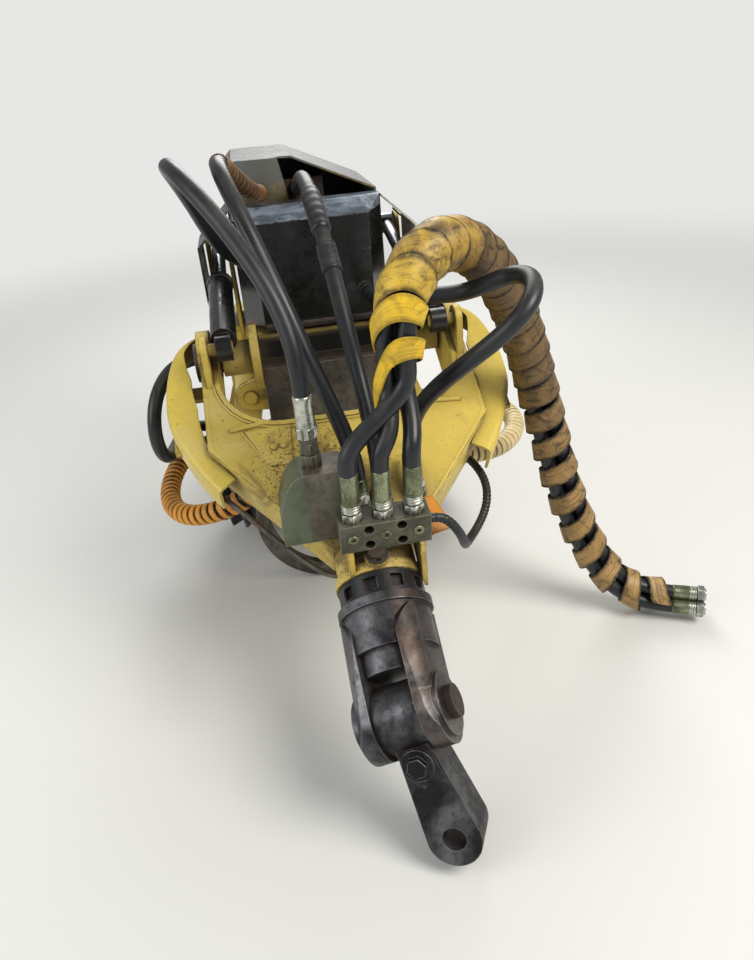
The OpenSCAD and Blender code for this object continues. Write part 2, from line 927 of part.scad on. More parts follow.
module block_bracket() {
    color(paint)
    at_home()
    difference() {
        in_block()
        for (x = [-84, 72])
            translate([x, 0, 0])
            along_x(0, 12)
            polygon([[-block_d / 2, -block_h / 2], [block_d / 2, -block_h / 2],
                [block_d / 2 + 12, -block_h / 2 - 25],
                [block_d / 2 + 14, -220], [-60, -220]]);
        in_yoke() {
            block([-300, -neck_s + 0, -300], [300, 0, yoke_depth / 2]);
            rod_y(neck_r, -neck_s - 66, -neck_s + 60);
            rod_y(ring_r + 4, -ring_s - 100, -ring_s + 24);
            block([-300, -2000, -300], [300, 0, 30]);
        }
    }
}

module hose_block() {
    color(steel)
    at_home()
    in_block()
    difference() {
        block([-block_w / 2, -block_d / 2, -block_h / 2], [block_w / 2, block_d / 2, block_h / 2]);
        for (x = [-70, 0, 70])
            rod_y(9, -block_d / 2 - 1, -block_d / 2 + 10, x, 0);
        for (x = [-35, 35], z = [-20, 20])
            rod_y(11, -block_d / 2 - 1, -block_d / 2 + 30, x, z);
    }
}

// A port on the yoke's top plate, leaning back from it
port_lean = 42;
port_rise = 60;
module port(x, d) {
    translate([x, -d, yoke_depth / 2 + fit]) {
        cylinder(r = 27, h = 22, $fn = 6);
        translate([0, 0, 20])
        rotate([-port_lean, 0, 0]) {
            cylinder(r = 20, h = port_rise);
            cylinder(r = 24, h = 24, $fn = 6);
        }
    }
}

// Where a hose leaves that port, h further on
function port_end(x, d, h = 0) =
    let (turn = port_lean - yoke_slope, low = yoke_depth / 2 + 20 + fit, up = port_rise + fit + h)
    [x, -d * cos(yoke_slope) - low * sin(yoke_slope) + up * sin(turn),
        pivot_z - d * sin(yoke_slope) + low * cos(yoke_slope) + up * cos(turn)];

module hose_fittings() {
    color(zinc)
    at_home() {
        in_block()
        for (x = [-66, 0, 66])
            translate([x, 0, block_h / 2]) {
                cylinder(r = 24, h = 22, $fn = 6);
                translate([0, 0, 22]) cylinder(r = 16, h = 10);
                translate([0, 0, 32]) cylinder(r = 20, h = 84);
            }
        in_yoke()
        for (at = ports)
            port(at.x, at.y);
    }
}

// Sideways place and distance along the yoke of the three ports on it
ports = [[-14, 551], [38, 535], [118, 530]];

gland_x = -112;
gland_s = 560;
module in_gland() {
    in_yoke()
    translate([gland_x, -gland_s, yoke_depth / 2])
    rotate([-30, 0, 0]) children();
}

module gland_box() {
    color(steel)
    at_home()
    difference() {
        in_gland() {
            along_y(-50, 50) {
                translate([-20, -120]) square([86, 260]);
                translate([-20, 10]) scale([0.5, 1]) circle(130);
            }
            translate([0, 0, 130]) cylinder(r = 23, h = 40, $fn = 6);
            translate([0, 0, 170]) cylinder(r = 16, h = 40);
            translate([0, 0, 210]) cylinder(r = 24, h = 24, $fn = 6);
            translate([0, 0, 234]) cylinder(r = 20, h = 70);
        }
        in_yoke() {
            block([-400, -900, -400], [400, 0, yoke_depth / 2]);
            rod_y(neck_r, -neck_s - 66, -neck_s + 60);
        }
    }
}

// Rotator and link

module rotator_ring() {
    color(black)
    at_home()
    in_yoke()
    difference() {
        union() {
            rod_y(ring_r, -ring_s - ring_h, -ring_s);
            rod_y(50, -fork_s - 40, -ring_s);
        }
        for (i = [0 : ring_slots - 1])
            rotate([0, 360 * i / ring_slots, 0])
            block([ring_r - 14, -ring_s - ring_h + 12, -14], [ring_r + 10, -ring_s - 12, 14]);
    }
}

module rotator_fork() {
    color(steel)
    at_home()
    in_rotator()
    difference() {
        union() {
            rod_y(ring_r + 10, -fork_s - 22, -fork_s - run);
            rod_y(ring_r + 2, -fork_s - 112, -fork_s - 22);
            rod_y(ring_r - 14, -fork_s - fork_root, -fork_s - 112);
            both_sides()
            intersection() {
                along_x(50, 50 + cheek_t)
                strap([-fork_s - 96, 0], [-pin_s, 0], 92, cheek_r);
                rod_y(ring_r + 10, -pin_s - 100, -fork_s - 30);
            }
            both_sides() rod_x(cheek_r - 14, 50, cheek_out, -pin_s, 0);
        }
        rod_y(50 + fit, -fork_s - 42, -fork_s);
        rod_x(fork_pin_r, -200, 200, -pin_s, 0);
        rod_x(knuckle_r + 6, -50, 50, -pin_s, 0);
    }
}

module fork_pin() {
    color(rust)
    at_home()
    in_rotator() {
        rod_x(fork_pin_r, -cheek_out - 4, cheek_out + 4, -pin_s, 0);
        rod_x(fork_pin_r + 10, cheek_out + fit, cheek_out + 17, -pin_s, 0);
        rod_x(fork_pin_r + 4, -cheek_out - 16, -cheek_out - fit, -pin_s, 0);
    }
}

module hanger_link() {
    color(steel)
    at_home()
    in_link()
    difference() {
        union() {
            rod_x(knuckle_r, -49, 49);
            along_x(-36, 36) strap([0, 0], [-link_len + 70, 0], 56, 40);
            // Stud boss on the knuckle's upper side
            translate([0, -82, 0]) cylinder(r = 34, h = 60);
            translate([0, -82, 60]) cylinder(r = 22, h = 14, $fn = 6);
            translate([0, 0, -46])
            linear_extrude(92)
            strap([0, -60], [0, -link_len], 38, link_eye_r);
        }
        rod_x(fork_pin_r + fit, -60, 60);
        translate([0, -link_len, -60]) cylinder(r = crane_bore_r, h = 120);
    }
}

// Tilt cylinders

module cylinder_brackets() {
    color(paint)
    at_home()
    both_sides()
    for (x = [cyl_x - 38, cyl_x + 26])
        difference() {
            along_x(x, x + 12)
            union() {
                strap([cyl_back().x + 20, girder_top - 20], cyl_back(), 90, 36);
            }
            if (x < cyl_x) block([0, 200, girder_top], [girder_half + 34, 790, girder_top + 12]);
        }
    color(paint)
    at_home()
    both_sides()
    block([girder_half, cyl_back().x - 60, girder_top - 60],
        [cyl_x + 38, cyl_back().x + 100, girder_top - 40]);
}

module barrel(side) {
    eye = cyl_eye();
    back = cyl_back();
    reach = norm(back - eye);
    slope = atan2(back.y - eye.y, back.x - eye.x);
    translate([side * cyl_x, eye.x, eye.y])
    rotate([slope, 0, 0])
    difference() {
        union() {
            rod_x(32, -20, 20, 0, 0);
            block([-16, 0, -22], [16, 50, 22]);
            rod_y(barrel_r, 40, 384);
            rod_y(barrel_r + 3, 366, 384);
        }
        rod_x(16 + fit, -30, 30, 0, 0);
        rod_y(rod_r + fit, 60, 400);
    }
}

module rod(side) {
    eye = cyl_eye();
    back = cyl_back();
    reach = norm(back - eye);
    slope = atan2(back.y - eye.y, back.x - eye.x);
    translate([side * cyl_x, eye.x, eye.y])
    rotate([slope, 0, 0]) {
        rod_y(rod_r, 374, reach - 24);
        rod_x(32, -17, 17, reach, 0);
    }
}

module barrel_l() {
    color(black)
    at_home() barrel(-1);
}

module barrel_r() {
    color(black)
    at_home() barrel(1);
}

module rod_l() {
    color("silver")
    at_home() rod(-1);
}

module rod_r() {
    color("silver")
    at_home() rod(1);
}

// Hoses

bundle_route = [[80, -604, 880], [80, -604, 960], [84, -604, 1050], [116, -580, 1118], [180, -530, 1156],
    [260, -464, 1136], [338, -396, 1062], [404, -340, 955], [455, -303, 825], [496, -284, 685],
    [534, -278, 540],
    [572, -280, 400], [618, -296, 268], [672, -320, 155], [725, -346, 92], [790, -377, 60],
    [860, -410, 60]];
module hose_bundle() {
    color(orange)
    at_home() tube(bundle_route, bundle_d / 2, 3, 12);
}

// The three hoses between the block and the wrap
module hose_tails() {
    color(rubber)
    at_home() {
        tube([[-48, -659, 755], [-48, -665, 795], [-20, -650, 825], [40, -620, 840], [52, -612, 862],
            [52, -612, 879]],
            hose_d / 2, 3, 8);
        tube([[18, -659, 755], [18, -665, 795], [50, -650, 825], [84, -640, 845], [88, -636, 862],
            [88, -636, 879]],
            hose_d / 2, 3, 8);
        tube([[84, -659, 755], [84, -665, 795], [98, -630, 825], [104, -596, 845], [104, -588, 862],
            [104, -588, 879]],
            hose_d / 2, 3, 8);
    }
}

// Threaded fittings with caps on the ends of the three hoses
module hose_ends() {
    color(zinc)
    at_home()
    for (m = [[-22, 0], [22, 0], [0, 34]])
        translate([860.5, -410.2, 60])
        rotate([0, 0, -25])
        translate([0, m.x, m.y - 14])
        rotate([0, 90, 0]) {
            cylinder(r = 20, h = 60);
            translate([0, 0, 60]) cylinder(r = 24, h = 24, $fn = 6);
        }
}

module hose_left_outer() {
    color(rubber)
    at_home()
    tube([[-112, -515, 876.5], [-112, -515, 925], [-117, -500, 985], [-134, -468, 1055],
        [-170, -420, 1130], [-225, -355, 1215], [-285, -280, 1285], [-325, -185, 1315],
        [-325, -80, 1285], [-300, 30, 1205], [-275, 120, 1110],
        [-250, 195, 1045], [-206.4, 249.4, 1000.5]], hose_d / 2);
}

module hose_left_inner() {
    color(rubber)
    at_home()
    tube(concat([port_end(ports[0].x, ports[0].y), port_end(ports[0].x, ports[0].y, 45)],
        [[-35, -470, 780], [-68, -432, 870], [-100, -388, 970], [-138, -335, 1085], [-178, -275, 1200],
        [-212, -195, 1285], [-218, -95, 1303], [-195, 10, 1262], [-160, 105, 1210], [-135, 205, 1180],
        [-124, 285, 1168], [-124, 352 - fit, 1168]]), hose_d / 2);
}

module hose_middle() {
    color(rubber)
    at_home()
    tube(concat([port_end(ports[1].x, ports[1].y), port_end(ports[1].x, ports[1].y, 45)],
        [[30, -440, 800], [18, -370, 910], [8, -270, 1030], [0, -140, 1130], [-6, 0, 1200],
        [-10, 135, 1222], [-12, 255, 1198], [-12, 335, 1158.3], [-12, 396 - fit, 1158.3]]), hose_d / 2);
}

module hose_right_loop() {
    color(rubber)
    at_home()
    tube(concat([port_end(ports[2].x, ports[2].y), port_end(ports[2].x, ports[2].y, 45)],
        [[122, -482, 755], [135, -510, 810], [165, -565, 875], [215, -628, 942], [265, -668, 997],
        [304, -680, 1036], [336, -660, 1066], [354, -608, 1084], [348, -560, 1084],
        [322, -528, 1074], [284, -518, 1058],
        [245, -492, 1040], [210, -425, 1022], [180, -320, 1000], [160, -200, 965], [148, -80, 935],
        [142, 50, 900], [140, 115, 890], [140, 170 - fit, 890]]), hose_d / 2 - 1);
}

module hose_left_back() {
    color(rubber)
    at_home()
    tube([[-girder_half - 24 - fit, 150, 745], [-262, 150, 745], [-325, 140, 765], [-390, 115, 778],
        [-452, 70, 765], [-495, 10, 710],
        [-510, -25, 630], [-508, -10, 555], [-502, 70, 500], [-498, 180, 475], [-492, 290, 460],
        [-480, 400, 440],
        [-460, 480, 415], motor_port(-1, 32, 60), motor_port(-1, 32, 0.5)], hose_d / 2);
}

module conduit_right() {
    color(rubber)
    at_home()
    tube([[150, knife_face, 640], [150, -60, 640], [175, -125, 625], [235, -195, 592],
        [298, -270, 550], [333, -350, 518],
        [315, -425, 478], [265, -485, 450], [225, -540, 455], [208, -590, 487], [195, -625, 528],
        [178, -643, 570],
        [150, -640, 606], [block_x + block_w / 2 + fit, -640, 606]], thin_d / 2, 3, 8);
}

module spiral_left() {
    color(orange)
    at_home()
    tube([[-150, knife_face, 575], [-150, -74, 575], [-162, -135, 560], [-200, -180, 530],
        [-262, -200, 490],
        [-335, -185, 450], [-405, -145, 415], [-470, -85, 388], [-515, 0, 375], [-530, 100, 372],
        [-525, 200, 374],
        [-505, 295, 378], [-472, 345, 376], motor_port(-1, -32, 70), motor_port(-1, -32, 0.5)], 30);
}

module spiral_right() {
    color("wheat")
    at_home()
    tube([[150, knife_face, 575], [150, -74, 575], [170, -130, 555], [230, -165, 525],
        [310, -160, 492], [395, -125, 468],
        [470, -75, 455], [530, 0, 452], [560, 90, 452], [560, 180, 448], [535, 265, 432], [490, 330, 405],
        motor_port(1, -32, 70), motor_port(1, -32, 0.5)], 30);
}

main_frame();
top_knife();
knife_lugs();
hood();
valve_cover();
valve_block();
wing_l();
wing_r();
pivot_pins();
wheel_bracket();
measuring_wheel();
saw_box();
saw_motor();
saw_bar();
front_knife_l();
front_knife_r();
rear_knife_l();
rear_knife_r();
feed_arm_l();
feed_arm_r();
feed_motor_l();
feed_motor_r();
feed_roller_l();
feed_roller_r();
tilt_yoke();
side_guard_l();
side_guard_r();
block_bracket();
hose_block();
hose_fittings();
gland_box();
rotator_ring();
rotator_fork();
fork_pin();
hanger_link();
cylinder_brackets();
barrel_l();
barrel_r();
rod_l();
rod_r();
hose_bundle();
hose_tails();
hose_ends();
hose_left_outer();
hose_left_inner();
hose_middle();
hose_right_loop();
hose_left_back();
conduit_right();
spiral_left();
spiral_right();
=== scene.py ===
"""Harvester head with tilt yoke, rotator and hanger link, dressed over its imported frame.

Lengths are metres in the frame's own axes: X is the head's right, Y runs along the girder away from the
rotator, Z is up. Routes and places are written in millimetres as the part's source has them, and placed()
brings them into the frame. Each shape is a surface over two parameters, worked out as whole arrays.
"""

import math

import bpy
import numpy as np
from mathutils import Matrix


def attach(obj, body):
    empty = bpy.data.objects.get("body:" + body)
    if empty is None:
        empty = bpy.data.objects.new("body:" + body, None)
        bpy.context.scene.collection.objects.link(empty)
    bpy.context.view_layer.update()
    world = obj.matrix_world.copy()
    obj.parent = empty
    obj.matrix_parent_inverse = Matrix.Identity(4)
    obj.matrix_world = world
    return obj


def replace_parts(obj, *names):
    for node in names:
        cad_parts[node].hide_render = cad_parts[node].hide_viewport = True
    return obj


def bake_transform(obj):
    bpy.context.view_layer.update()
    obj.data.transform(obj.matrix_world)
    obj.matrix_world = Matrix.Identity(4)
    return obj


bl_info = {
    "name": "Harvester head dressing",
    "version": (1, 0, 0),
    "blender": (4, 5, 0),
    "location": "3D View > Sidebar > Harvester",
    "description": "Hoses, guards, fittings, wear and studio for a harvester head",
    "category": "Object",
}

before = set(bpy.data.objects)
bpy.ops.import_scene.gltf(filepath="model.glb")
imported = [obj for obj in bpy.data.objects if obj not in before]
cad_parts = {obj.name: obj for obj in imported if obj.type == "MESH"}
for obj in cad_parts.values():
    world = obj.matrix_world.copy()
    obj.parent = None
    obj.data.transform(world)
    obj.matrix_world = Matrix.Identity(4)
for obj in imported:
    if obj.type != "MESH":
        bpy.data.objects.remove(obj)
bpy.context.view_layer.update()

# The part's source has its origin this far along the girder from the tilt pivot, in millimetres
MID_Y = 33.0
TILT_PIVOT_Z = 800.0
# At rest the yoke slopes down to the front, and the rotator is turned to the right
YOKE_SLOPE = math.radians(30)
ROTATOR_TURN = math.radians(28)

# ---------------------------------------------------------------------------------------------------------
# Places and curves


def placed(points):
    """Points of the part's source, in millimetres, as metres of the frame."""
    return (np.asarray(points, float) - (0.0, MID_Y, 0.0)) / 1000.0


def in_yoke(points):
    """Points of the yoke's own frame, in millimetres from the tilt pivot, as metres of the frame."""
    x, y, z = np.moveaxis(np.asarray(points, float), -1, 0)
    c, s = math.cos(YOKE_SLOPE), math.sin(YOKE_SLOPE)
    return placed(np.stack([x, y * c - z * s, TILT_PIVOT_Z + y * s + z * c], -1))


def in_rotator(points):
    """Points of the rotator's frame, turned about the yoke's length, as metres of the frame."""
    x, y, z = np.moveaxis(np.asarray(points, float), -1, 0)
    c, s = math.cos(ROTATOR_TURN), math.sin(ROTATOR_TURN)
    return in_yoke(np.stack([x * c - z * s, y, x * s + z * c], -1))


def tipped(place, tilt):
    """The way into metres of the frame from axes at a place of the yoke, tipped about X by degrees."""
    c, s = math.cos(math.radians(tilt)), math.sin(math.radians(tilt))
    turn = np.array([(1, 0, 0), (0, c, s), (0, -s, c)])
    return lambda points: in_yoke(np.asarray(points, float) @ turn + np.array(place))


IN_BLOCK = tipped((18, -650, 150), -22)
IN_GLAND = tipped((-112, -560, 60), -30)
ROTATOR_RIGHT = in_rotator((1, 0, 0)) - in_rotator((0, 0, 0))

# Points of a route are this far apart, in metres, and a hose has this many sides
ROUTE_STEP = 0.006
HOSE_SIDES = 22


def unit(v):
    """Each vector along the last axis, divided by its length."""
    return v / np.maximum(np.linalg.norm(v, axis=-1, keepdims=True), 1e-12)


def smooth_route(points, step=ROUTE_STEP):
    """Even samples, step metres apart, of the uniform cubic B-spline that the points draw toward themselves.

    A span's point is ((1-t)^3 a + (3t^3-6t^2+4) b + (-3t^3+3t^2+3t+1) c + t^3 d) / 6, and the first and the
    last point are mirrored beyond the ends, so the curve starts and stops on them.
    """
    p = np.asarray(points, float)
    q = np.vstack([2 * p[0] - p[1], p, 2 * p[-1] - p[-2]])
    t = np.linspace(0, 1, 24, endpoint=False)[None, :, None]
    a, b, c, d = (q[k : k + len(p) - 1, None, :] for k in range(4))
    curve = ((1 - t) ** 3 * a + (3 * t**3 - 6 * t**2 + 4) * b
             + (-3 * t**3 + 3 * t**2 + 3 * t + 1) * c + t**3 * d)
    return even(np.vstack([curve.reshape(-1, 3) / 6, p[-1]]), step)


def lengths(p):
    """Distance along a line of points from its first one, at each point."""
    return np.concatenate([[0.0], np.cumsum(np.linalg.norm(np.diff(p, axis=0), axis=1))])


def at(p, s):
    """Points at distances s along a line of points."""
    own = lengths(p)
    return np.stack([np.interp(s, own, p[:, k]) for k in range(3)], -1)


def even(p, step):
    """The same line with its points evenly spaced, about step apart."""
    total = lengths(p)[-1]
    return at(p, np.linspace(0, total, max(4, int(round(total / step)) + 1)))


def carried_frames(p):
    """Tangents and two side vectors along a line, without twist.

    The side vector starts as the fixed axis least along the line, squared to each tangent, and is then
    turned back by the running sum of the angle that it makes with its carried neighbour.
    """
    t = unit(np.gradient(p, axis=0))
    axis = np.eye(3)[np.argmin(np.abs(t).max(axis=0))]
    u = unit(axis - (t @ axis)[:, None] * t)
    v = np.cross(t, u)
    across = lambda a, b: a - 2 * np.sum(a * b, 1, keepdims=True) / np.sum(b * b, 1, keepdims=True) * b
    chord = np.diff(p, axis=0)
    swing = t[1:] - across(t[:-1], chord)
    carried = across(across(u[:-1], chord), swing)
    turn = np.arctan2(np.sum(carried * v[1:], 1), np.sum(carried * u[1:], 1))
    angle = np.concatenate([[0.0], np.cumsum(turn)])[:, None]
    return t, np.cos(angle) * u + np.sin(angle) * v, np.cos(angle) * v - np.sin(angle) * u


# ---------------------------------------------------------------------------------------------------------
# Meshes


# Edges that turn by more than this stay sharp
SHARP = math.radians(40)


def put_mesh(name, points, faces, uv, fields):
    """A smooth object whose mesh has these points, quads or polygons, UV values by corner and fields by
    point."""
    mesh = bpy.data.meshes.new(name)
    points = np.asarray(points, np.float32).reshape(-1, 3)
    corner = np.concatenate([np.asarray(f, np.int32).ravel() for f in faces])
    count = np.concatenate([np.full(len(f), np.asarray(f).shape[1], np.int32) for f in faces])
    mesh.vertices.add(len(points))
    mesh.vertices.foreach_set("co", points.ravel())
    mesh.loops.add(len(corner))
    mesh.loops.foreach_set("vertex_index", corner)
    mesh.polygons.add(len(count))
    mesh.polygons.foreach_set("loop_start", np.concatenate([[0], np.cumsum(count)[:-1]]).astype(np.int32))
    mesh.polygons.foreach_set("loop_total", count)
    mesh.update(calc_edges=True)
    mesh.validate()
    mesh.polygons.foreach_set("use_smooth", np.full(len(mesh.polygons), True))
    layer = mesh.uv_layers.new(name="UVMap")
    layer.data.foreach_set("uv", np.concatenate([np.asarray(w, np.float32).ravel() for w in uv]))
    for key, values in fields.items():
        field = mesh.attributes.new(key, "FLOAT", "POINT")
        field.data.foreach_set("value", np.concatenate(values).astype(np.float32))
    obj = bpy.data.objects.new(name, mesh)
    bpy.context.scene.collection.objects.link(obj)
    mesh.set_sharp_from_angle(angle=SHARP)
    return obj


def grid_quads(rows, columns, along, wrap):
    """Quads of a grid of points, rows by columns, whose last column meets its first where it wraps, and
    their UV values: distance along, then the part of a turn."""
    i, j = np.meshgrid(np.arange(rows - 1), np.arange(columns if wrap else columns - 1), indexing="ij")
    k = (j + 1) % columns
    low, high = i * columns, (i + 1) * columns
    turn = np.linspace(0, 1, columns + 1 if wrap else columns)
    u = np.stack([along[i], along[i], along[i + 1], along[i + 1]], -1)
    v = np.stack([turn[j], turn[j + 1], turn[j + 1], turn[j]], -1)
    quads = np.stack([low + j, low + k, high + k, high + j], -1)
    return quads.reshape(-1, 4), np.stack([u, v], -1).reshape(-1, 4, 2)


class Shell:
    """Grids of points and their faces, gathered into one mesh."""

    def __init__(self):
        self.points, self.faces, self.uv, self.fields, self.count = [], [], [], {}, 0

    def grid(self, points, along=None, wrap=True, inside_out=False, **fields):
        """Adds a grid of rows by columns; where it wraps, its two ends are closed by flat polygons.

        Each field is one value, or one for every point, kept as an attribute of the same name.
        """
        rows, columns = points.shape[:2]
        for key, values in fields.items():
            self.fields.setdefault(key, []).append(np.broadcast_to(values, (rows, columns)).ravel())
        along = lengths(points.mean(axis=1)) if along is None else along
        quads, uv = grid_quads(rows, columns, along, wrap)
        quads = quads + self.count
        ends, end_uv = [], []
        if wrap:
            ring = self.count + np.arange(columns)
            ends = [ring[None, ::-1], ring[None, :] + (rows - 1) * columns]
            turn = np.linspace(0, 2 * math.pi, columns, endpoint=False)
            end_uv = [0.02 * np.stack([np.cos(turn), np.sin(turn)], -1)[None]] * 2
        if inside_out:
            quads, uv = quads[:, ::-1], uv[:, ::-1]
            ends = [e[:, ::-1] for e in ends]
        self.faces += [quads, *ends]
        self.uv += [uv, *end_uv]
        self.points.append(points.reshape(-1, 3))
        self.count += rows * columns
        return self

    def made(self, name):
        """The object that the gathered grids make."""
        return put_mesh(name, np.vstack(self.points), self.faces, self.uv, self.fields)


def ring_points(centre, u, v, radius, sides, phase=0.0):
    """Circles round each centre, in the plane of its side vectors: radius (cos a u + sin a v). There is one
    radius in all, one for each centre, or one for every point."""
    a = np.linspace(0, 2 * math.pi, sides, endpoint=False)[None, :, None] + phase
    if np.ndim(radius) < 2:
        radius = np.broadcast_to(radius, len(centre))[:, None]
    return centre[:, None] + radius[..., None] * (np.cos(a) * u[:, None] + np.sin(a) * v[:, None])


def tube(shell, path, radius, sides=20):
    """A round tube along a line: the circle radius(s) (cos a, sin a) in the side vectors at distance s."""
    _, u, v = carried_frames(path)
    return shell.grid(ring_points(path, u, v, radius, sides), along=lengths(path))


def turned(shell, origin, axis, profile, sides=32, phase=0.0, facets=None):
    """A profile of rows (distance along the axis, radius, flag) turned about it.

    With n facets a flagged ring is a polygon, whose radius is r cos(pi/n) / cos(a mod 2 pi/n - pi/n).
    """
    axis = unit(np.asarray(axis, float))
    helper = np.eye(3)[np.argmin(np.abs(axis))]
    u = unit(np.cross(helper, axis))
    v = np.cross(axis, u)
    profile = np.asarray(profile, float)
    centre = np.asarray(origin, float) + profile[:, :1] * axis
    a = np.linspace(0, 2 * math.pi, sides, endpoint=False)
    radius = np.repeat(profile[:, 1:2], sides, axis=1)
    if facets is not None:
        n = math.pi / facets
        flat = radius * math.cos(n) / np.cos(np.mod(a, 2 * n) - n)[None, :]
        radius = np.where(profile[:, 2:3] > 0.5, flat, radius)
    u, v = (np.tile(side, (len(profile), 1)) for side in (u, v))
    return shell.grid(ring_points(centre, u, v, radius, sides, phase), along=lengths(profile[:, :2]))


def steady(value):
    """The function of distance that has this value everywhere."""
    return lambda x: np.full(np.shape(x), value)


def helical_band(shell, path, start, stop, pitch, width, inner, outer, age, lift=0.0, wander=0.0, phase=0.0,
                 lean=None, steps=44):
    """A flat band wound round a line, with rounded edges.

    Over the winding angle q the band's middle lies at distance s(q), the running sum of pitch(s) / 2 pi. Its
    section is a rounded rectangle, width(s) along the line by outer minus inner across it, whose leading edge
    stands lift further out. The middle wanders by two slow sines of q, and a turn may lean: lean is the
    amount, and the direction in which the turn goes that far along the line. Pitch, width, age and the amount
    are functions of the distance; age and the distance from the band's middle, 0 to 1, are kept as fields.
    """
    s = np.linspace(start, stop, 4000)
    rate = 2 * math.pi / pitch(s)
    angle = np.concatenate([[0], np.cumsum((rate[1:] + rate[:-1]) / 2 * np.diff(s))])
    q = np.linspace(0, angle[-1], max(8, int(angle[-1] / (2 * math.pi) * steps)))
    mid = np.interp(q, angle, s)
    half, r = width(mid)[:, None] / 2, (outer - inner) / 3
    sway = wander * (np.sin(0.73 * q + 1.0) + 0.6 * np.sin(1.91 * q))[:, None]
    # The section's points: their part of the way from the middle to an edge, a shift, and their height
    part, back, high = np.array([
        (-1, 0, inner), (-0.5, 0, inner), (0.5, 0, inner), (1, 0, inner), (1, 0, outer - r), (1, -r, outer),
        (0.5, 0, outer), (0, 0, outer + r / 4), (-0.5, 0, outer), (-1, r, outer), (-1, 0, outer - r)]).T
    _, u, v = carried_frames(path)
    own = lengths(path)
    if lean:
        amount, toward = lean
        facing = [np.interp(mid, own, side @ toward) for side in (u, v)]
        sway = sway + (amount(mid) * (np.cos(q + phase) * facing[0] + np.sin(q + phase) * facing[1]))[:, None]
    span = np.clip(mid[:, None] + sway + part * half + back, 0, own[-1])
    look = lambda field: np.stack([np.interp(span, own, field[:, k]) for k in range(3)], -1)
    centre, su, sv = look(path), unit(look(u)), unit(look(v))
    outward = np.cos(q + phase)[:, None, None] * su + np.sin(q + phase)[:, None, None] * sv
    rings = centre + (high + lift * part)[None, :, None] * outward
    return shell.grid(rings, along=q * (inner + outer) / 2, age=age(mid)[:, None],
                      across=np.abs(part)[None, :])


def plate(shell, where, outline, low, high, edge=1.5):
    """A flat plate in a local frame, in millimetres: its outline carried up, and drawn in at the top edge."""
    outline = np.asarray(outline, float)
    inward = outline.mean(axis=0) - outline
    inward = inward / np.linalg.norm(inward, axis=1, keepdims=True)
    levels = [(low, 0.0), (high - edge, 0.0), (high - 0.3 * edge, 0.3 * edge), (high, edge)]
    rows = np.stack([np.column_stack([outline + inset * inward, np.full(len(outline), z)])
                     for z, inset in levels])
    return shell.grid(where(rows), along=np.array([0.0, 1, 1.2, 1.4]) * (high - low) / 1000)


def fixed(shell, where, foot, toward, profile, **how):
    """A turned piece in a local frame: its foot and its direction there, its profile in millimetres."""
    start = where(np.asarray(foot, float))
    axis = where(np.asarray(foot, float) + np.asarray(toward, float)) - start
    rows = np.array([(*np.array(row[:2]) / 1000, row[2] if len(row) > 2 else 0) for row in profile])
    return turned(shell, start, axis, rows, **how)


def nut(shell, where, foot, toward, height, radius, **how):
    """A hexagonal bar, chamfered at both ends: a ring, two hexagons and a ring."""
    chamfer, rim = 1.6, 0.88 * radius
    profile = [(0, rim), (chamfer, radius, 1), (height - chamfer, radius, 1), (height, rim)]
    fixed(shell, where, foot, toward, profile, facets=6, **{"sides": 48, **how})


# A hose end's ridged nut, as distances and radii, and its sleeve, as parts of its length, radii and flags
RIDGES = [(18, 15), (22, 17), (23, 20.6), (27, 20.6), (28, 19), (29.4, 19), (30.4, 20.6), (34, 20.6),
          (35, 19), (36.4, 19), (37.4, 20.6), (41, 20.6), (42, 18)]
SLEEVE = [(0, 17, 0), (0.02, 20.2, 0), (0.08, 20.4, 0), (0.12, 20.4, 1), (0.78, 20.2, 1), (0.83, 20.0, 0),
          (0.95, 19.9, 0), (0.985, 19.4, 0), (1, 18.6, 0)]


def fitting(bright, olive, where, foot, toward, length):
    """A hose's end: hexagon nut, neck and a nut of three ridges in one finish, the pressed sleeve in another.
    One shorter than 90 mm has its ridges closer together by as much."""
    nut(bright, where, foot, toward, 19, 24)
    closer = min(1.0, length / 90)
    fixed(bright, where, foot, toward, [(z * closer, r) for z, r in RIDGES], sides=40)
    start = 41 * closer
    sleeve = [(start + part * (length - start), r, flag) for part, r, flag in SLEEVE]
    fixed(olive, where, foot, toward, sleeve, facets=12, sides=48)


# ---------------------------------------------------------------------------------------------------------
# Finishes


def tone(r, g, b):
    """A colour of 0 to 255 as Blender's linear numbers."""
    c = np.array([r, g, b]) / 255.0
    return tuple(float(x) for x in np.where(c <= 0.04045, c / 12.92, ((c + 0.055) / 1.055) ** 2.4))


